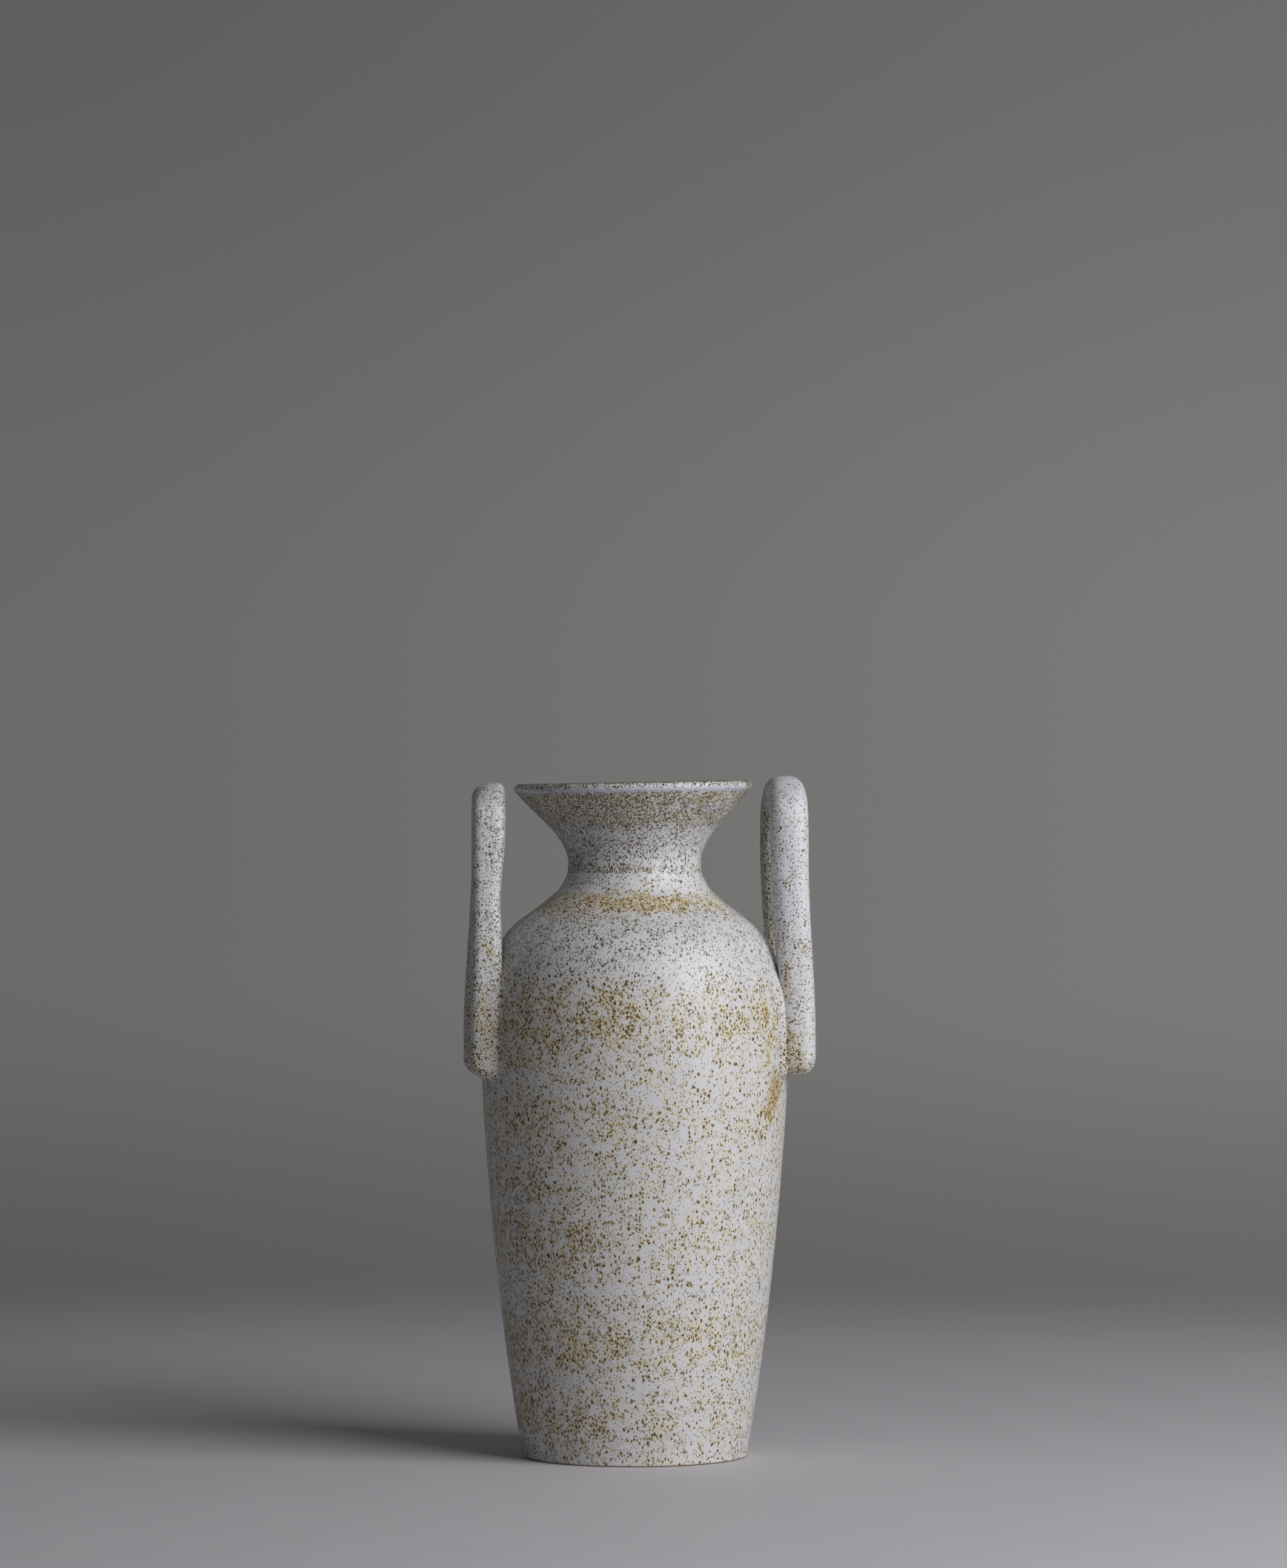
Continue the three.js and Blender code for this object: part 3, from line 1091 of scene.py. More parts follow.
    def press_on(self, piece: bpy.types.Object) -> None:
        """Slants the feet, presses the legs on the body's wall and turns the handle to its side.

        Args:
            piece: The coil, as it stands on the right.
        """
        count = len(piece.data.vertices)
        flat = np.empty(count * 3)
        piece.data.vertices.foreach_get("co", flat)
        co = flat.reshape(-1, 3) / MM
        fade = 1.0 - smoothstep(co[:, 2], self.foot, self.foot + self.slant_reach)
        co[:, 2] += math.tan(math.radians(self.foot_slant)) * (co[:, 0] - self.foot_reach) * fade
        top = self.foot + self.rise
        outward = (co[:, 0] - self.reach(co[:, 2])) / self.thickness + 0.5
        co[:, 2] -= self.crown_fall * outward**2 * smoothstep(co[:, 2], top - self.crown_reach, top)
        seat = self.outline.radius(co[:, 2]) - self.bite
        low = (co[:, 2] < self.outline.joint_height) & (np.hypot(co[:, 0], co[:, 1]) < seat)
        co[low, 0] = np.sqrt(seat[low] ** 2 - co[low, 1] ** 2)
        co[:, :2] *= self.side.value
        piece.data.vertices.foreach_set("co", (co * MM).ravel())
        piece.data.update()

    def build(self, tree: GrowingTree, finish: bpy.types.Material) -> bpy.types.Object:
        """Rolls the coil, bends it and presses it on.

        Args:
            tree: The coiling tree.
            finish: Its glaze.

        Returns:
            The piece.
        """
        values = {
            "Sides": self.sides,
            "Squareness": self.coil_squareness,
            "Hand Press": self.hand_press,
            "Seed": self.seed,
            "Finish": finish,
        }
        piece = tree.grow(f"{self.name}_coil", self.line(), values)
        self.press_on(piece)
        return piece


@dataclass
class LegLute:
    """The slip that holds one leg to the body, wiped to a soft roll round the leg's contact."""

    handle: ArchHandle
    leg: Leg
    spread: float = 2.6
    tucked: float = 3.0
    climb: float = 0.4
    fade: float = 24.0
    sunk: float = 0.12
    backing: float = 0.7
    edge_inset: float = 0.4
    lower_round: float = 5.0
    upper_roundness: float = 0.98
    least_round: float = 0.5
    side_steps: int = 26
    end_steps: int = 5
    corner_steps: int = 9
    ramp_steps: int = 12
    inner_steps: int = 4

    def outline(self, beyond: float) -> np.ndarray:
        """Draws a rounded outline about the leg's contact with the wall.

        Args:
            beyond: How far outside the contact's edge it runs.

        Returns:
            Distances across and heights, always with the same number of points.
        """
        handle = self.handle
        slant = math.tan(math.radians(handle.foot_slant)) * (handle.thickness / 2 - handle.press)
        low = handle.foot - slant - beyond
        high = handle.contact_top() + min(beyond, 0.0)
        half = handle.width / 2 - self.edge_inset + beyond
        lower_round = max(self.lower_round + beyond, self.least_round)
        upper_round = half * self.upper_roundness
        points = []
        bends = (
            (half - lower_round, low + lower_round, lower_round, -0.25),
            (half - upper_round, high - upper_round, upper_round, 0.0),
            (upper_round - half, high - upper_round, upper_round, 0.25),
            (lower_round - half, low + lower_round, lower_round, 0.5),
        )
        for number, (across, up, radius, start) in enumerate(bends):
            turn = (start + np.linspace(0.0, 0.25, self.corner_steps)) * TAU
            arc = np.column_stack([across + radius * np.cos(turn), up + radius * np.sin(turn)])
            after = bends[(number + 1) % len(bends)]
            first = after[3] * TAU
            to = np.array([after[0] + after[2] * math.cos(first), after[1] + after[2] * math.sin(first)])
            steps = self.side_steps if number % 2 == 0 else self.end_steps
            share = np.linspace(0.0, 1.0, steps + 1)[1:-1, None]
            points += [arc, arc[-1] + (to - arc[-1]) * share]
        return np.vstack(points)

    def lift(self, flat: np.ndarray, beyond: float) -> np.ndarray:
        """Tells how far the slip's surface stands off the wall: a soft roll, then a ramp under the leg.

        Args:
            flat: Distances across from the leg's middle, and heights.
            beyond: How far outside the contact's edge the points are.

        Returns:
            The lift at each point, fading to nothing where the leg comes clear of the wall.
        """
        out = min(max(beyond / self.spread, 0.0), 1.0)
        roll = self.climb * self.spread * math.sqrt(1.0 - out**2)
        top = self.handle.contact_top()
        kept = 1.0 - smoothstep(flat[:, 1], top - self.fade, top)
        return (roll + max(-beyond, 0.0)) * kept - self.sunk

    def on_wall(self, flat: np.ndarray, lift: np.ndarray | float) -> np.ndarray:
        """Lays points on the body's wall under the leg.

        Args:
            flat: Distances across from the leg's middle, and heights.
            lift: How far each stands off the wall.

        Returns:
            Their places.
        """
        side = self.handle.side.value
        own = self.leg.value * side
        across = own * self.handle.leg_spread + flat[:, 0]
        radius = self.handle.outline.radius(flat[:, 1]) + lift
        out = np.sqrt(radius**2 - across**2)
        return np.column_stack([side * out, side * across, flat[:, 1]])

    def build(self, finish: bpy.types.Material) -> bpy.types.Object:
        """Makes the fillet as a closed skin: a hollow ramp up to the leg, and a back inside the wall.

        Args:
            finish: Its glaze.

        Returns:
            The piece.
        """
        steps = np.linspace(0.0, 1.0, self.ramp_steps + 1)
        beyond = self.spread - steps * (self.spread + self.tucked)
        front = []
        for far in beyond:
            flat = self.outline(far)
            front.append(self.on_wall(flat, self.lift(flat, far)))
        last = self.outline(float(beyond[-1]))
        middle = last.mean(axis=0)
        shares = np.linspace(1.0, 0.0, self.inner_steps + 1)
        for share in shares[1:-1]:
            flat = middle + (last - middle) * share
            front.append(self.on_wall(flat, self.lift(flat, float(beyond[-1]))))
        rim = self.outline(self.spread - self.edge_inset)
        rim_middle = rim.mean(axis=0)
        back = [self.on_wall(rim_middle + (rim - rim_middle) * share, -self.backing) for share in shares[:-1]]
        rings = [*reversed(front), *back]
        top = self.lift(middle[None, :], float(beyond[-1]))
        caps = (self.on_wall(middle[None, :], top), self.on_wall(rim_middle[None, :], -self.backing))
        name = f"{self.handle.name}_lute_{self.leg.name.lower()}"
        return skinned(name, rings, caps, finish)


def skinned(name: str, rings: list, caps: tuple, finish: bpy.types.Material) -> bpy.types.Object:
    """Skins rings of points, each with as many points, and closes both ends on a point.

    Args:
        name: The piece's name.
        rings: The rings, in order.
        caps: The point that closes the first ring and the one that closes the last.
        finish: The material.

    Returns:
        The piece, smooth and with its faces outwards.
    """
    sides = len(rings[0])
    points = np.vstack([*rings, *caps])
    first, last = len(points) - 2, len(points) - 1
    faces = []
    for side in range(sides):
        after = (side + 1) % sides
        faces.append((first, side, after))
        for ring in range(len(rings) - 1):
            low, high = ring * sides, (ring + 1) * sides
            faces.append((low + side, high + side, high + after, low + after))
        top = (len(rings) - 1) * sides
        faces.append((last, top + after, top + side))
    mesh = bpy.data.meshes.new(name)
    mesh.from_pydata([tuple(p) for p in points * MM], [], faces)
    if volume(mesh) < 0.0:
        mesh.flip_normals()
    mesh.polygons.foreach_set("use_smooth", [True] * len(mesh.polygons))
    mesh.materials.append(finish)
    piece = bpy.data.objects.new(name, mesh)
    bpy.context.scene.collection.objects.link(piece)
    return piece


def volume(mesh: bpy.types.Mesh) -> float:
    """Measures what a closed mesh holds.

    Args:
        mesh: The mesh.

    Returns:
        Its volume in cubic metres, below 0 if its faces point inwards.
    """
    mesh.calc_loop_triangles()
    corners = np.empty(len(mesh.loop_triangles) * 3, np.int32)
    mesh.loop_triangles.foreach_get("vertices", corners)
    co = np.empty(len(mesh.vertices) * 3)
    mesh.vertices.foreach_get("co", co)
    a, b, c = co.reshape(-1, 3)[corners.reshape(-1, 3)].transpose(1, 0, 2)
    return float(np.einsum("ij,ij->i", a, np.cross(b, c)).sum() / 6.0)


@dataclass(frozen=True)
class Speck:
    """One size of iron speck that bleeds through the glaze."""

    spacing: float
    smallest: float
    largest: float
    share: float
    edge: float
    strength: float
    halo: float
    pale: Colour
    dark: Colour
    onset: float = 0.0


@dataclass(frozen=True)
class Stain:
    """A place where the glaze ran or broke brown: a soft line between two points, in millimetres."""

    start: tuple[float, float, float]
    end: tuple[float, float, float]
    reach: float
    colour: Colour
    strength: float
    crowding: float = 0.0


@dataclass(frozen=True)
class Patches:
    """How large the glaze's uneven patches are, in millimetres."""

    edge: float = 11.0
    cloud: float = 34.0
    bare: float = 6.5
    amber: float = 21.0
    thin: float = 16.0
    runs: float = 3.4
    grain: float = 2.4
    stain: float = 5.0
    satin: float = 9.0
    peel: float = 2.6
    lip: float = 3.2
    grit: float = 0.9


@dataclass(frozen=True)
class SpeckledGlaze:
    """A cool white satin glaze over speckled clay, with bands where the iron came through."""

    name: str
    bands: Stops
    amber: Stops
    specks: tuple[Speck, ...]
    stains: tuple[Stain, ...] = ()
    base: Colour = (213, 211, 208)
    cool: Colour = (212, 211, 215)
    thin: Colour = (202, 203, 206)
    straw: Colour = (213, 203, 164)
    halo: Colour = (204, 177, 92)
    clay: Colour = (150, 122, 92)
    olive: Colour = (188, 181, 138)
    crowded: Colour = (188, 181, 138)
    grey_pale: Colour = (142, 138, 129)
    grey_dark: Colour = (62, 57, 46)
    straw_strength: float = 0.25
    dense_strength: float = 0.25
    halo_strength: float = 0.54
    raggedness: float = 9.0
    bare_spots: tuple[float, float] = (0.38, 0.56)
    bare_levels: tuple[float, float] = (0.55, 1.18)
    roughness: float = 0.42
    lip_line: float = 0.0
    foot_line: float = 0.0
    denser_behind: float = 1.0
    denser_inside: float = 1.0
    # Partly painted shade: warmer iron towards the back, for the back legs that stand in shade
    amber_and_shade_warmth_behind: float = 0.0
    stretch: float = 1.4
    grey_size: float = 1.0
    mouth_tilt: float = 1.05
    joint_height: float = 298.9
    lip_top: float = 350.0
    reach_up: float = 360.0
    patches: Patches = Patches()
    broken_below_lip: tuple[float, float] = (1.1, 0.1)
    pool_foot_below_lip: tuple[float, float] = (5.4, 4.4)
    pool_top_below_lip: tuple[float, float] = (2.2, 3.4)
    rim_below_lip: tuple[float, float] = (0.5, 0.25)
    dry_foot: tuple[float, float] = (0.35, -0.05)
    left_side: tuple[float, float] = (30.0, -60.0)
    denser_left: float = 1.7
    # Painted shade: the amber is greyed towards the shaded left side
    amber_side: tuple[float, float] = (20.0, -50.0)
    greyer_in_left_shade: float = 0.78
    back_side: tuple[float, float] = (-8.0, 18.0)
    inner_side: tuple[float, float] = (90.0, 79.0)
    flattening: float = 3.2
    layer_shift: float = 0.37
    warp: float = 1.1
    peel_strength: float = 0.35
    peel_depth: float = 0.00012
    edge_uneven: float = 7.0
    grit: Colour = (188, 166, 136)
    pooled: Colour = (186, 191, 202)
    broken: Colour = (122, 88, 50)
    rim: Colour = (74, 66, 52)

    def material(self) -> bpy.types.Material:
        """Builds the glaze as a material on Object coordinates."""
        made = bpy.data.materials.new(self.name)
        w = Wires.afresh(made)
        place = w.node("ShaderNodeTexCoord").outputs["Object"]
        x, y, z = w.split(w.scaled(place, 1.0 / MM))

        # Heights as thrown, before the mouth leaned, so that the bands lean with it
        rise = w.step(z, self.joint_height, self.lip_top)
        lean = w.times(rise, math.tan(math.radians(self.mouth_tilt)))
        height = w.math("SUBTRACT", z, w.times(lean, x))

        density, amber, spots = self.iron(w, place, (x, y, height))
        colour = self.ground(w, place, density, amber, spots)
        colour, relief = self.speckled(w, place, density, amber, colour)
        colour, dry = self.bared(w, place, height, z, colour)
        self.skin(w, place, colour, relief, dry)
        return made

    def iron(self, w: Wires, place: object, at: tuple[Socket, ...]) -> tuple:
        """Tells how much iron shows, by height, with ragged edges and streaks round the vase.

        Args:
            w: The material's wires.
            place: The coordinates.
            at: The place across and in depth and the height as thrown, in millimetres.

        Returns:
            How dense and how warm the iron is, with some painted shade on the left and at the back, and how
            strongly each stain shows.
        """
        x, y, height = at
        ragged = w.noise(place, self.patches.edge, 3.0)
        ragged = w.math("MULTIPLY_ADD", ragged, self.raggedness, -self.raggedness / 2)
        reading = w.plus(height, ragged)
        flat = w.vector("MULTIPLY", place, (1.0, 1.0, self.flattening))
        cloud = w.step(w.noise(flat, self.patches.cloud, 3.0), 0.3, 0.7, (0.88, 1.15))
        bare = w.step(w.noise(place, self.patches.bare, 2.0), *self.bare_spots, self.bare_levels)
        density = w.times(w.graded(reading, self.bands, self.reach_up), cloud)
        # More specks towards the left side of the vase
        density = w.times(density, w.times(bare, w.step(x, *self.left_side, (1.0, self.denser_left))))
        density = w.times(density, w.step(y, *self.back_side, (1.0, self.denser_behind)))
        away = w.vector("LENGTH", w.joined(x, y, 0.0))
        density = w.times(density, w.step(away, *self.inner_side, (1.0, self.denser_inside)))
        amber = w.step(w.noise(flat, self.patches.amber, 3.0), 0.38, 0.66, (0.55, 1.0))
        amber = w.times(amber, w.graded(reading, self.amber, self.reach_up))
        # Towards the back the iron turns browner: partly its own amber, partly painted shade, the warm dim
        # light on the handles' back legs
        amber = w.plus(amber, w.step(y, *self.back_side, (0.0, self.amber_and_shade_warmth_behind)))
        # Painted shade: the iron is painted greyer, with less amber, towards the shaded left side
        amber = w.times(amber, w.step(x, *self.amber_side, (1.0, self.greyer_in_left_shade)))
        spots = [self.spot(w, place, stain) for stain in self.stains]
        for stain, spot in zip(self.stains, spots):
            density = w.math("MULTIPLY_ADD", spot, stain.crowding, density)
            amber = w.math("MULTIPLY_ADD", spot, stain.crowding, amber, clamp=True)
        return density, amber, spots

    def ground(self, w: Wires, place: object, density: Socket, amber: Socket, spots: list) -> Socket:
        """Colours the glaze: cool where it is thick and bare, with straw-coloured runs among strong iron.

        Args:
            w: The material's wires.
            place: The coordinates.
            density: How dense the iron is.
            amber: How warm it is.
            spots: How strongly each stain shows.

        Returns:
            The colour under the specks.
        """
        ground = w.times(w.step(density, 0.3, 0.7), w.step(amber, 0.3, 0.9))
        colour = w.mix(ground, linear(self.cool), linear(self.base))
        colour = w.mix(w.step(w.noise(place, self.patches.thin, 2.0), 0.45, 0.85), colour, linear(self.thin))
        runs = w.noise(w.vector("MULTIPLY", place, (1.0, 1.0, 0.28)), self.patches.runs, 3.0)
        straw = w.times(w.step(runs, 0.42, 0.68), amber)
        straw = w.times(straw, self.straw_strength)
        colour = w.mix(straw, colour, linear(self.straw))
        soiled = w.times(w.step(density, 0.7, 1.3, (0.0, self.dense_strength)), amber)
        colour = w.mix(soiled, colour, linear(self.crowded))

        grain = w.noise(w.vector("MULTIPLY", place, (1.0, 1.0, 0.5)), self.patches.grain, 3.0)
        grain = w.step(grain, 0.4, 0.6)
        for stain, spot in zip(self.stains, spots):
            soaked = w.times(spot, w.times(grain, stain.strength))
            colour = w.mix(soaked, colour, linear(stain.colour))
        return colour

    def speckled(self, w: Wires, place: object, density: Socket, amber: Socket, colour: Socket) -> tuple:
        """Adds the specks, from the finest up, each with a dark middle and an olive or amber bleed.

        Args:
            w: The material's wires.
            place: The coordinates.
            density: How dense the iron is.
            amber: How warm it is.
            colour: The colour under the specks.

        Returns:
            The colour, and where the specks of each size are.
        """
        bleed = w.mix(w.step(amber, 0.1, 0.7), linear(self.olive), linear(self.halo))
        bleeding = w.math("MULTIPLY_ADD", amber, 0.6 * self.halo_strength, 0.4 * self.halo_strength)
        grey = (linear(self.grey_pale), linear(self.grey_dark))
        warped = w.vector("MULTIPLY", place, (1.0, 1.0, 1.0 / self.stretch))
        warped = w.vector("ADD", warped, w.scaled(w.noise_vector(place, self.warp), self.warp * MM))
        finer = w.step(amber, 0.0, 0.4, (self.grey_size, 1.0))
        relief = []
        for number, speck in enumerate(self.specks):
            shifted = w.vector("ADD", warped, (self.layer_shift * (number + 1), 0.0, 0.0))
            distance, chance = w.cells(shifted, speck.spacing)
            lot, size, tint = w.split(chance)
            crowd = w.math("SUBTRACT", density, speck.onset)
            present = w.math("LESS_THAN", lot, w.times(crowd, speck.share))
            radius = w.math("MULTIPLY_ADD", size, speck.largest - speck.smallest, speck.smallest)
            radius = w.times(radius, finer)
            glow = w.step(distance, w.plus(radius, speck.halo), w.times(radius, 0.6))
            glow = w.times(glow, w.times(present, bleeding))
            colour = w.mix(glow, colour, bleed)
            mask = w.step(distance, radius, w.math("SUBTRACT", radius, speck.edge))
            mask = w.times(mask, present)
            core = w.step(distance, radius, w.times(radius, 0.45), (0.0, 0.85))
            depth = w.math("MULTIPLY_ADD", tint, 0.4, core, clamp=True)
            warm = w.step(w.math("MULTIPLY_ADD", size, 0.2, amber), 0.1, 0.4)
            iron = w.mix(warm, w.mix(depth, *grey), w.mix(depth, linear(speck.pale), linear(speck.dark)))
            colour = w.mix(w.times(mask, speck.strength), colour, iron)
            relief.append(mask)
        return colour, relief

    def skin(self, w: Wires, place: object, colour: Socket, relief: list[Socket], dry: object) -> None:
        """Gives the glaze its satin skin, a little rough on the iron, with a faint orange peel.

        Args:
            w: The material's wires.
            place: The coordinates.
            colour: The finished colour.
            relief: Where the specks of each size are.
            dry: How dry the surface is.
        """
        iron_shows = w.math("MAXIMUM", relief[-1], relief[-2])
        rough = w.math("MULTIPLY_ADD", w.noise(place, self.patches.satin, 2.0), 0.08, self.roughness - 0.04)
        rough = w.plus(rough, w.times(iron_shows, 0.1))
        rough = w.math("MAXIMUM", rough, w.times(dry, 0.85))
        peel = w.math("SUBTRACT", w.noise(place, self.patches.peel, 2.0), w.times(iron_shows, 0.35))
        bump = w.node("ShaderNodeBump")
        bump.inputs["Strength"].default_value = self.peel_strength
        bump.inputs["Distance"].default_value = self.peel_depth
        w.feed(bump.inputs["Height"], peel)
        shader = w.node("ShaderNodeBsdfPrincipled")
        shader.inputs["IOR"].default_value = 1.5
        w.feed(shader.inputs["Base Color"], colour)
        w.feed(shader.inputs["Roughness"], rough)
        w.feed(shader.inputs["Normal"], bump.outputs[0])
        out = w.node("ShaderNodeOutputMaterial")
        w.feed(out.inputs["Surface"], shader.outputs[0])

    def spot(self, w: Wires, place: object, stain: Stain) -> Socket:
        """Tells how strongly a stain shows, with an uneven edge.

        Args:
            w: The material's wires.
            place: The coordinates.
            stain: The stain.

        Returns:
            Its strength, 1 along its middle and 0 outside its reach.
        """
        start, way = Vector(stain.start) * MM, (Vector(stain.end) - Vector(stain.start)) * MM
        shaken = min(self.edge_uneven, stain.reach) * MM
        here = w.vector("ADD", place, w.scaled(w.noise_vector(place, self.patches.stain), shaken))
        offset = w.vector("SUBTRACT", here, tuple(start))
        reached = w.vector("DOT_PRODUCT", offset, tuple(way))
        along = w.math("DIVIDE", reached, max(way.dot(way), 1e-9), clamp=True)
        nearest = w.vector("SUBTRACT", offset, w.scaled(w.joined(*way), along))
        return w.step(w.vector("LENGTH", nearest), stain.reach * MM, 0.0)

    def below_lip(self, w: Wires, height: object, ends: tuple[float, float], most: float = 1.0) -> Socket:
        """Rises from 0 to its most between two distances below the lip's top."""
        return w.step(height, *(self.lip_top - end for end in ends), (0.0, most))

    def bared(self, w: Wires, place: object, height: object, z: object, colour: object) -> tuple:
        """Breaks the glaze brown along the lip's edge and leaves the foot bare.

        Args:
            w: The material's wires.
            place: The coordinates.
            height: The height as thrown, in millimetres.
            z: The height in the frame, in millimetres.
            colour: The colour so far.

        Returns:
            The colour, and how dry the surface is.
        """
        if self.lip_line:
            edge = self.below_lip(w, height, self.broken_below_lip)
            patchy = w.step(w.noise(place, self.patches.lip, 3.0), 0.42, 0.6)
            broken = w.times(edge, w.times(patchy, self.lip_line))
            pooled = self.below_lip(w, height, self.pool_foot_below_lip, 0.5)
            pooled = w.times(pooled, self.below_lip(w, height, self.pool_top_below_lip))
            colour = w.mix(pooled, colour, linear(self.pooled))
            colour = w.mix(broken, colour, linear(self.broken))
            rim = self.below_lip(w, height, self.rim_below_lip, 0.45)
            colour = w.mix(rim, colour, linear(self.rim))
        dry = 0.0
        if self.foot_line:
            dry = w.step(z, *(self.foot_line + reach for reach in self.dry_foot))
            grit = w.mix(w.noise(place, self.patches.grit, 3.0), linear(self.clay), linear(self.grit))
            colour = w.mix(dry, colour, grit)
        return colour, dry


BODY_BANDS: Stops = (
    (0, 0.5), (9, 0.5), (19, 0.62), (27, 0.55), (44, 0.42), (54, 0.6), (70, 0.66), (80, 0.5),
    (92, 0.42), (106, 0.52), (118, 0.58), (130, 0.5), (145, 0.46), (165, 0.44), (178, 0.5), (190, 0.42),
    (202, 0.42), (212, 0.6), (225, 0.76), (236, 0.68), (248, 0.64), (254, 0.64), (262, 0.74), (276, 0.78),
    (283, 0.7), (286, 1.05), (289, 1.05), (291.5, 0.7), (296, 0.56), (299, 0.54),
)
BODY_AMBER: Stops = (
    (0, 0.7), (12, 0.7), (22, 0.9), (34, 0.9), (44, 0.65), (56, 0.95), (70, 1.0), (80, 0.7), (92, 0.65),
    (106, 0.85), (118, 0.9), (130, 0.8), (150, 0.9), (178, 1.0), (190, 0.9), (202, 0.8), (212, 0.78),
    (226, 0.8), (240, 0.7), (250, 0.3), (256, 0.0), (278, 0.0), (283, 0.5), (286, 1.0), (290, 1.0),
    (295, 0.45), (299, 0.1),
)
NECK_BANDS: Stops = (
    (290, 0.8), (294, 0.58), (299, 0.58), (302, 0.6), (304, 0.9), (305.5, 0.88), (307.5, 0.66),
    (318, 0.68), (325, 0.64), (328, 0.92), (331, 1.1), (334, 1.05), (336, 0.8), (338, 1.05), (342, 1.25),
    (344.4, 1.2), (345.2, 0.2), (346.6, 0.25), (347.6, 0.85), (351, 1.0),
)
NECK_AMBER: Stops = (
    (290, 0.9), (294, 0.2), (300, 0.15), (303, 0.6), (305.5, 0.5), (308, 0.12), (320, 0.16),
    (326, 0.3), (330, 0.8), (334, 0.75), (336, 0.4), (339, 0.8), (342, 0.95), (344, 0.9), (345, 0.0),
    (348, 0.1), (351, 0.35),
)
HANDLE_BANDS: Stops = (
    (190, 1.0), (203, 0.8), (214, 0.62), (232, 0.56), (250, 0.52), (262, 0.62), (275, 0.52), (300, 0.5),
    (325, 0.52), (340, 0.4), (347, 0.18), (355, 0.1),
)
HANDLE_AMBER: Stops = (
    (190, 1.0), (206, 0.95), (222, 0.65), (245, 0.5), (264, 0.5), (280, 0.18), (335, 0.15), (355, 0.2),
)
LEFT_BANDS: Stops = (
    (190, 0.8), (210, 0.66), (232, 0.6), (246, 0.55), (262, 0.5), (280, 0.48), (310, 0.5), (340, 0.42),
    (355, 0.3),
)
LEFT_AMBER: Stops = (
    (190, 1.0), (214, 0.95), (246, 0.8), (262, 0.55), (278, 0.12), (310, 0.1), (355, 0.15),
)
SPECKS: tuple[Speck, ...] = (
    Speck(0.8, 0.24, 0.42, 0.88, 0.1, 0.76, 0.1, (148, 140, 84), (78, 70, 38)),
    Speck(1.5, 0.42, 0.72, 0.96, 0.2, 0.95, 0.3, (172, 148, 50), (78, 64, 23)),
    Speck(1.7, 0.43, 0.72, 1.35, 0.2, 0.95, 0.3, (158, 122, 42), (59, 46, 18), onset=0.56),
    Speck(2.5, 0.53, 0.9, 0.94, 0.26, 0.96, 0.38, (172, 137, 38), (61, 47, 17)),
    Speck(2.1, 0.5, 0.85, 2.0, 0.24, 0.96, 0.4, (160, 86, 26), (62, 34, 14), onset=0.82),
    Speck(5.0, 0.64, 1.04, 0.38, 0.28, 0.95, 0.4, (154, 104, 34), (48, 37, 19)),
    Speck(10.0, 0.8, 1.25, 0.14, 0.4, 0.95, 0.4, (130, 82, 32), (38, 31, 20)),
)
NECK_SPECKS: tuple[Speck, ...] = (
    Speck(0.8, 0.24, 0.42, 1.15, 0.1, 0.72, 0.12, (134, 127, 98), (60, 55, 38)),
    Speck(0.95, 0.36, 0.56, 1.8, 0.12, 0.96, 0.2, (108, 88, 44), (34, 26, 12), onset=0.62),
    Speck(1.45, 0.36, 0.62, 1.45, 0.16, 0.97, 0.25, (132, 106, 52), (38, 30, 16)),
    Speck(2.5, 0.46, 0.8, 1.15, 0.2, 0.97, 0.35, (132, 98, 46), (34, 27, 16)),
    Speck(5.0, 0.7, 1.1, 0.32, 0.3, 0.95, 0.4, (132, 88, 38), (34, 27, 18)),
)
HANDLE_SPECKS: tuple[Speck, ...] = (
    Speck(0.75, 0.19, 0.33, 1.1, 0.1, 0.75, 0.1, (138, 134, 114), (66, 62, 46)),
    Speck(1.1, 0.3, 0.48, 0.85, 0.12, 0.96, 0.26, (134, 121, 72), (46, 41, 24)),
    Speck(1.8, 0.38, 0.6, 0.95, 0.14, 0.98, 0.34, (146, 118, 46), (38, 31, 15)),
    Speck(1.6, 0.42, 0.72, 1.7, 0.16, 0.98, 0.36, (142, 86, 30), (50, 29, 12), onset=0.78),
    Speck(4.2, 0.48, 0.78, 0.6, 0.2, 0.98, 0.4, (148, 96, 36), (32, 25, 14)),
    Speck(9.0, 0.6, 0.95, 0.22, 0.26, 0.98, 0.4, (112, 68, 34), (28, 22, 18)),
)


HANDLE_LOOK: dict[str, object] = {
    "straw_strength": 0.08,
    "dense_strength": 0.05,
    "halo_strength": 0.36,
    "denser_inside": 1.5,
    "bare_levels": (0.6, 1.3),
}


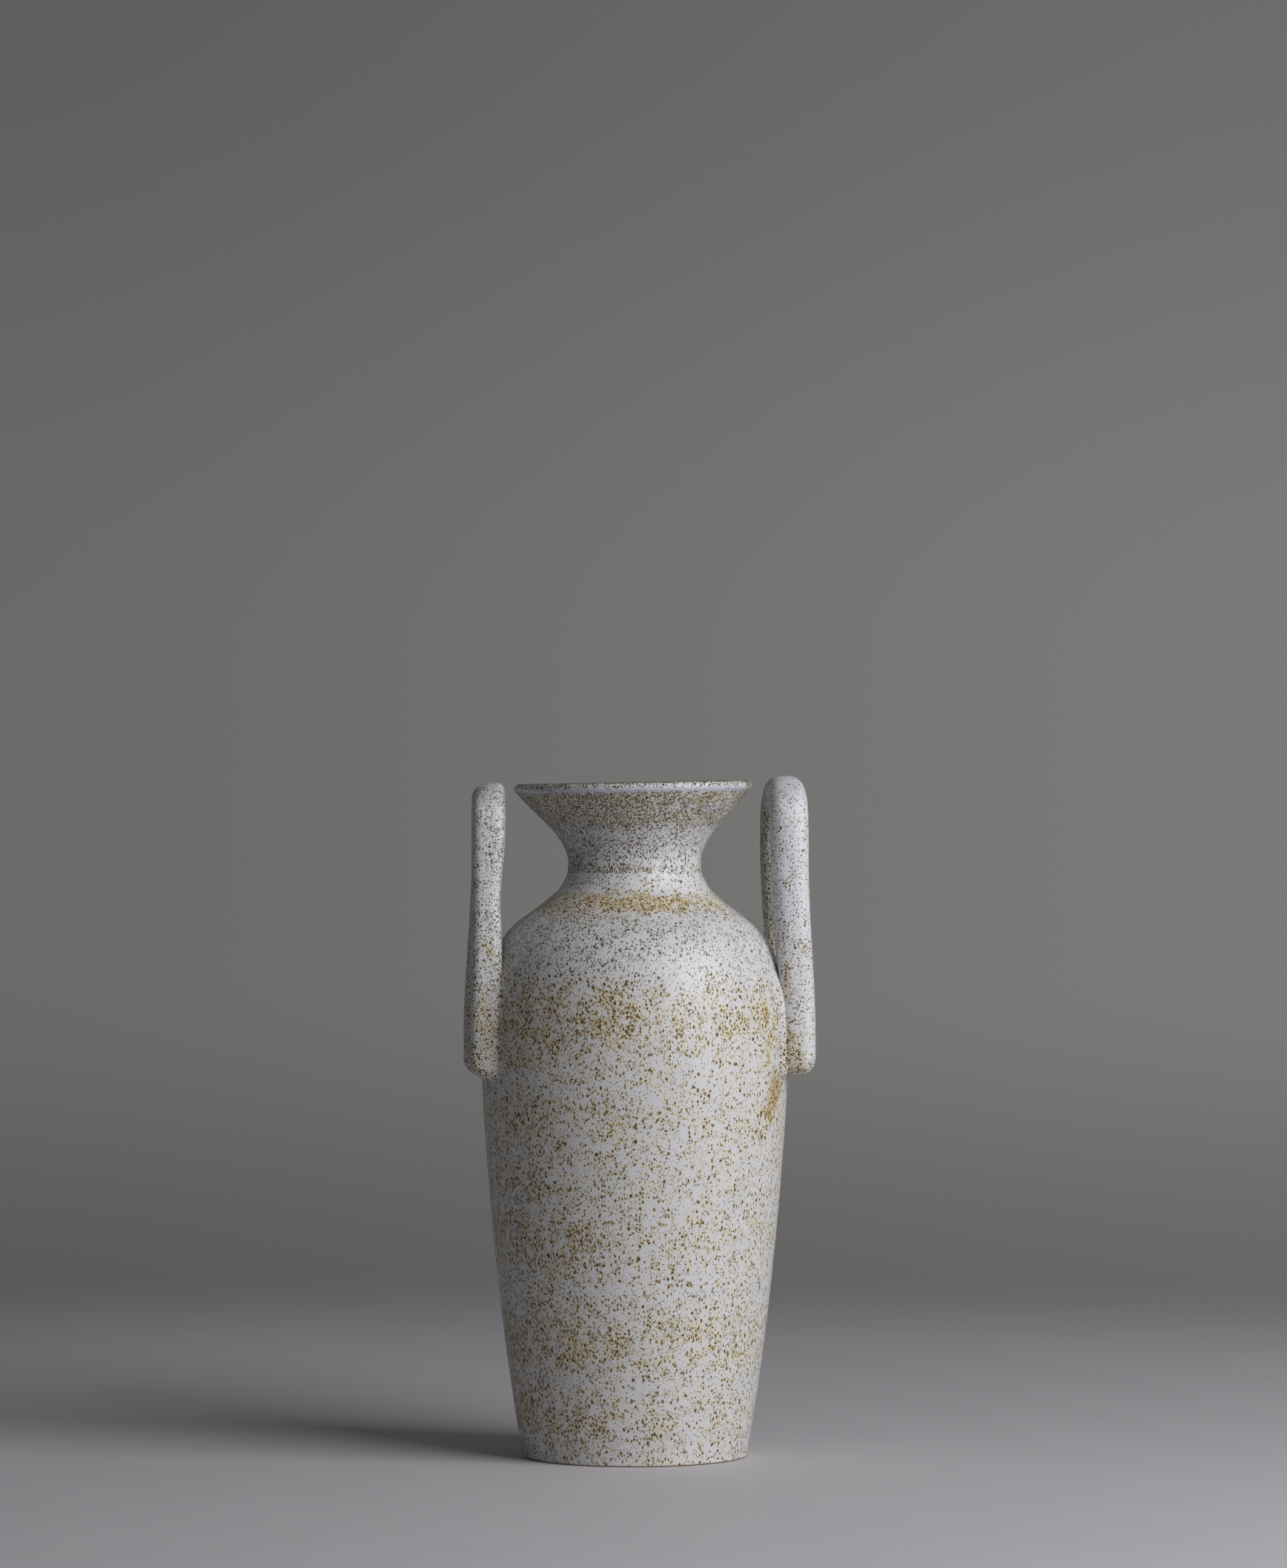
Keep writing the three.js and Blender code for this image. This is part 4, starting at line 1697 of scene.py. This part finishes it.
@dataclass
class Studio:
    """A plain pale floor, soft light from the right and the photograph's camera."""

    camera_azimuth: float = 5.5
    camera_distance: float = 3.230
    camera_height: float = 0.349
    camera_shift_right: float = 0.0046
    lens: float = 142.6
    sensor: float = 36.0
    key_azimuth: float = 50.0
    key_elevation: float = 27.0
    key_distance: float = 2.0
    key_size: float = 1.5
    key_power: float = 36.0
    ambient: float = 0.085
    floor_radius: float = 1.32
    floor_fade: tuple[float, float] = (0.62, 1.3)
    floor_colour: Colour = (203, 201, 206)
    backdrop: Colour = (114, 114, 113)
    # Painted light on the backdrop: lighter to the right, darker low down and high up
    wall_across: tuple = (-0.13, 0.13, (0.84, 1.16))
    wall_low: tuple = (-0.085, -0.03, (0.7, 1.0))
    wall_high: tuple = (0.02, 0.14, (1.0, 0.765))
    room_light: tuple[float, ...] = (0.98, 0.99, 1.02, 1.0)
    aim_height: float = 0.17
    floor_steps: int = 128
    floor_drop: float = 0.00005
    floor_patch: float = 60.0
    floor_unevenness: float = 0.93

    def axes(self) -> tuple[Vector, Vector]:
        """Tells where the camera looks and which way is right, both level."""
        turn = math.radians(self.camera_azimuth)
        look = Vector((math.sin(turn), math.cos(turn), 0.0))
        return look, Vector((look.y, -look.x, 0.0))

    def place_camera(self) -> None:
        """Puts the camera level with the lip, in front of the vase."""
        look, right = self.axes()
        camera = bpy.data.objects.new("camera", bpy.data.cameras.new("camera"))
        camera.data.lens = self.lens
        camera.data.sensor_width = self.sensor
        camera.data.clip_end = 50.0
        spot = right * self.camera_shift_right - look * self.camera_distance
        spot.z = self.camera_height
        up = Vector((0.0, 0.0, 1.0))
        turn = Matrix((right, up, -look)).transposed()
        camera.matrix_world = Matrix.Translation(spot) @ turn.to_4x4()
        bpy.context.scene.collection.objects.link(camera)
        bpy.context.scene.camera = camera

    def place_key(self) -> None:
        """Hangs the large soft light on the right."""
        look, right = self.axes()
        turn, lift = math.radians(self.key_azimuth), math.radians(self.key_elevation)
        way = (right * math.sin(turn) - look * math.cos(turn)) * math.cos(lift)
        way.z = math.sin(lift)
        lamp = bpy.data.lights.new("key", "AREA")
        lamp.shape = "SQUARE"
        lamp.size = self.key_size
        lamp.energy = self.key_power
        held = bpy.data.objects.new("key", lamp)
        aim = Vector((0.0, 0.0, self.aim_height))
        held.location = aim + way * self.key_distance
        held.rotation_euler = way.to_track_quat("Z", "Y").to_euler()
        bpy.context.scene.collection.objects.link(held)

    def light_room(self) -> None:
        """Gives the room its even light, and the camera a grey backdrop with painted light, lighter on the
        right and darker low and high.
        """
        world = bpy.data.worlds.new("room")
        bpy.context.scene.world = world
        w = Wires.afresh(world)
        way = w.node("ShaderNodeTexCoord").outputs["Generated"]
        _, right = self.axes()
        sideways = w.vector("DOT_PRODUCT", way, tuple(right))
        level = w.split(way)[2]
        # Painted light and shade across the backdrop
        side = w.step(sideways, *self.wall_across)
        lower = w.step(level, *self.wall_low)
        upper = w.step(level, *self.wall_high)
        shade = w.times(side, w.times(lower, upper))
        seen = w.mix(1.0, linear(self.backdrop), w.joined(shade, shade, shade), "MULTIPLY")
        even = w.node("ShaderNodeBackground")
        even.inputs["Color"].default_value = self.room_light
        even.inputs["Strength"].default_value = self.ambient
        wall = w.node("ShaderNodeBackground")
        w.feed(wall.inputs["Color"], seen)
        ray = w.node("ShaderNodeLightPath").outputs
        shows = w.math("MAXIMUM", ray["Is Camera Ray"], ray["Is Glossy Ray"])
        shows = w.math("MAXIMUM", shows, ray["Is Transmission Ray"])
        w.show("ShaderNodeOutputWorld", shows, even, wall)

    def lay_floor(self) -> None:
        """Lays the floor, which fades into the backdrop behind the vase for the camera only."""
        turn = [TAU * step / self.floor_steps for step in range(self.floor_steps)]
        reach, drop = self.floor_radius, -self.floor_drop
        rim = [(reach * math.cos(a), reach * math.sin(a), drop) for a in turn]
        mesh = bpy.data.meshes.new("floor")
        mesh.from_pydata(rim, [], [tuple(range(self.floor_steps))])
        floor = bpy.data.objects.new("floor", mesh)
        bpy.context.scene.collection.objects.link(floor)
        material = bpy.data.materials.new("floor_paint")
        w = Wires.afresh(material)
        place = w.node("ShaderNodeTexCoord").outputs["Object"]
        away = w.vector("LENGTH", place)
        fade = w.step(away, *self.floor_fade)
        ray = w.node("ShaderNodeLightPath").outputs
        fade = w.times(fade, ray["Is Camera Ray"])
        pale = Vector(linear(self.floor_colour)[:3])
        darker = (*(pale * self.floor_unevenness), 1.0)
        colour = w.mix(w.noise(place, self.floor_patch, 4.0), (*pale, 1.0), darker)
        paint = w.node("ShaderNodeBsdfPrincipled")
        paint.inputs["Roughness"].default_value = 0.7
        w.feed(paint.inputs["Base Color"], colour)
        gone = w.node("ShaderNodeBsdfTransparent")
        w.show("ShaderNodeOutputMaterial", fade, paint, gone)
        mesh.materials.append(material)

    def set_up(self) -> None:
        """Builds the whole studio."""
        bpy.context.scene.view_settings.view_transform = "Standard"
        self.place_camera()
        self.place_key()
        self.light_room()
        self.lay_floor()


def hand_over(piece: bpy.types.Object, slot: Slot, *nodes: str) -> None:
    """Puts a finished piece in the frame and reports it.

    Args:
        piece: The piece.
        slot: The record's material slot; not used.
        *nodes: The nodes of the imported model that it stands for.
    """
    held = volume(piece.data)
    if held <= 0.0:
        raise ValueError(f"{piece.name} is inside out")
    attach(piece, ROOT)
    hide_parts(*nodes)
    triangles = len(piece.data.loop_triangles)
    log.info("%s: %d triangles, %.1f cm3, for %s", piece.name, triangles, held * 1e6, ", ".join(nodes))


def main() -> None:
    """Builds the studio and the vase's sub-assemblies in order."""
    logging.basicConfig(level=logging.INFO, format="%(name)s: %(message)s")
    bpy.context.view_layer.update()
    Studio().set_up()
    outline = VaseOutline()
    turning, coiling = turning_tree(), coiling_tree()

    body_glaze = SpeckledGlaze(
        "speckled_body_glaze",
        BODY_BANDS,
        BODY_AMBER,
        SPECKS,
        stains=(
            Stain((61.0, -50.0, 240.0), (64.0, -47.5, 205.0), 9.0, (206, 199, 160), 0.5, 0.05),
            Stain((65.1, -45.8, 217.5), (65.3, -45.6, 208.0), 4.2, (198, 179, 122), 1.0),
            Stain((64.6, -46.4, 235.0), (64.4, -46.6, 227.0), 3.6, (188, 168, 116), 0.8),
            Stain((69.0, -36.0, 196.0), (65.5, -42.0, 182.0), 12.0, (166, 122, 60), 0.65, 0.8),
            Stain((62.5, -46.5, 181.5), (63.1, -45.7, 178.5), 3.6, (58, 38, 18), 1.0, 0.6),
            Stain((59.6, -49.0, 169.5), (60.0, -48.6, 165.5), 3.2, (120, 82, 32), 0.9, 0.5),
        ),
        crowded=(200, 168, 116),
        grey_size=0.9,
        foot_line=0.5,
    ).material()
    neck_glaze = SpeckledGlaze(
        "speckled_neck_glaze",
        NECK_BANDS,
        NECK_AMBER,
        NECK_SPECKS,
        stains=(Stain((57.6, -19.6, 350.0), (57.8, -19.0, 347.0), 8.0, (124, 80, 32), 1.0, 0.8),),
        base=(212, 210, 210),
        cool=(210, 210, 216),
        halo_strength=0.42,
        bare_levels=(0.74, 1.12),
        lip_line=0.75,
        raggedness=2.4,
    ).material()
    right_glaze = SpeckledGlaze(
        "right_handle_glaze",
        HANDLE_BANDS,
        HANDLE_AMBER,
        HANDLE_SPECKS,
        stains=(
            Stain((76.6, -32.0, 221.0), (77.4, -32.0, 216.0), 5.0, (160, 122, 70), 0.25, 0.8),
            Stain((77.0, -32.0, 213.0), (80.5, -32.0, 205.0), 6.5, (160, 124, 70), 0.25, 0.8),
            Stain((80.0, -31.0, 199.5), (89.5, -30.0, 200.5), 4.0, (128, 92, 50), 0.4, 0.9),
            Stain((75.0, -31.5, 255.0), (75.5, -31.5, 238.0), 5.0, (170, 150, 104), 0.2, 0.5),
            Stain((85.4, -32.0, 268.0), (86.4, -32.0, 263.0), 3.4, (176, 138, 80), 0.12, 0.5),
            Stain((66.5, -16.0, 347.0), (65.6, -21.0, 341.0), 5.0, (150, 128, 92), 0.6, 0.5),
        ),
        cool=(215, 217, 223),
        denser_behind=2.2,
        # The back leg's brown tint is partly its amber and partly painted shade
        amber_and_shade_warmth_behind=0.5,
        stretch=1.1,
        **HANDLE_LOOK,
    ).material()
    left_glaze = SpeckledGlaze(
        "left_handle_glaze",
        LEFT_BANDS,
        LEFT_AMBER,
        HANDLE_SPECKS,
        stains=(
            Stain((-81.6, -32.0, 237.0), (-80.2, -32.0, 228.0), 5.5, (150, 104, 58), 0.1, 1.0),
            Stain((-80.6, -32.0, 222.0), (-78.6, -32.0, 212.0), 5.0, (150, 108, 60), 0.1, 0.9),
            Stain((-74.0, -32.0, 226.0), (-75.0, -32.0, 221.0), 4.0, (110, 74, 42), 0.35, 1.2),
            Stain((-85.6, -30.0, 207.0), (-84.0, -30.0, 202.0), 4.5, (150, 104, 58), 0.12, 0.9),
            Stain((-82.6, -32.0, 266.0), (-76.6, -32.0, 262.0), 3.6, (176, 146, 92), 0.12, 0.7),
        ),
        cool=(214, 216, 221),
        denser_behind=1.6,
        stretch=1.2,
        **HANDLE_LOOK,
    ).material()

    hand_over(ThrownBody(outline).build(turning, body_glaze), Slot.BODY_GLAZE, "body")
    hand_over(NeckLute(outline).build(turning, body_glaze), Slot.LUTE_GLAZE, "neck_slip")
    hand_over(ThrownNeck(outline).build(turning, neck_glaze), Slot.BODY_GLAZE, "neck")
    right = ArchHandle(
        outline,
        Side.RIGHT,
        thickness=18.8,
        width=18.4,
        rise=155.2,
        foot_drop=5.5,
        foot_round=6.4,
        foot_rise=9.0,
        foot_slant=3.0,
        press=3.1,
        mouth_clearance=7.8,
        seed=0.17,
        swellings=(Swelling(330.0, 1.4, 55.0),),
        crown_fall=0.4,
        leg_spread=23.2,
        coil_squareness=2.55,
    )
    left = ArchHandle(
        outline,
        Side.LEFT,
        thickness=16.2,
        width=17.1,
        rise=154.0,
        foot_drop=7.5,
        foot_round=7.0,
        foot_rise=7.4,
        foot_slant=16.0,
        press=4.8,
        mouth_clearance=7.0,
        seed=0.71,
        swellings=(Swelling(205.0, 1.9, 34.0), Swelling(291.0, -1.4, 17.0), Swelling(335.0, 1.4, 30.0)),
        twist=1.5,
        crown_fall=3.2,
        leg_spread=23.3,
        coil_squareness=3.2,
    )
    for handle, glaze, spread in ((right, right_glaze, 2.2), (left, left_glaze, 1.3)):
        hand_over(handle.build(coiling, glaze), Slot.HANDLE_GLAZE, handle.name)
        for leg in Leg:
            slip = f"{handle.name}_slip_{leg.name.lower()}"
            hand_over(LegLute(handle, leg, spread=spread).build(glaze), Slot.LUTE_GLAZE, slip)


if __name__ == "__main__":
    main()
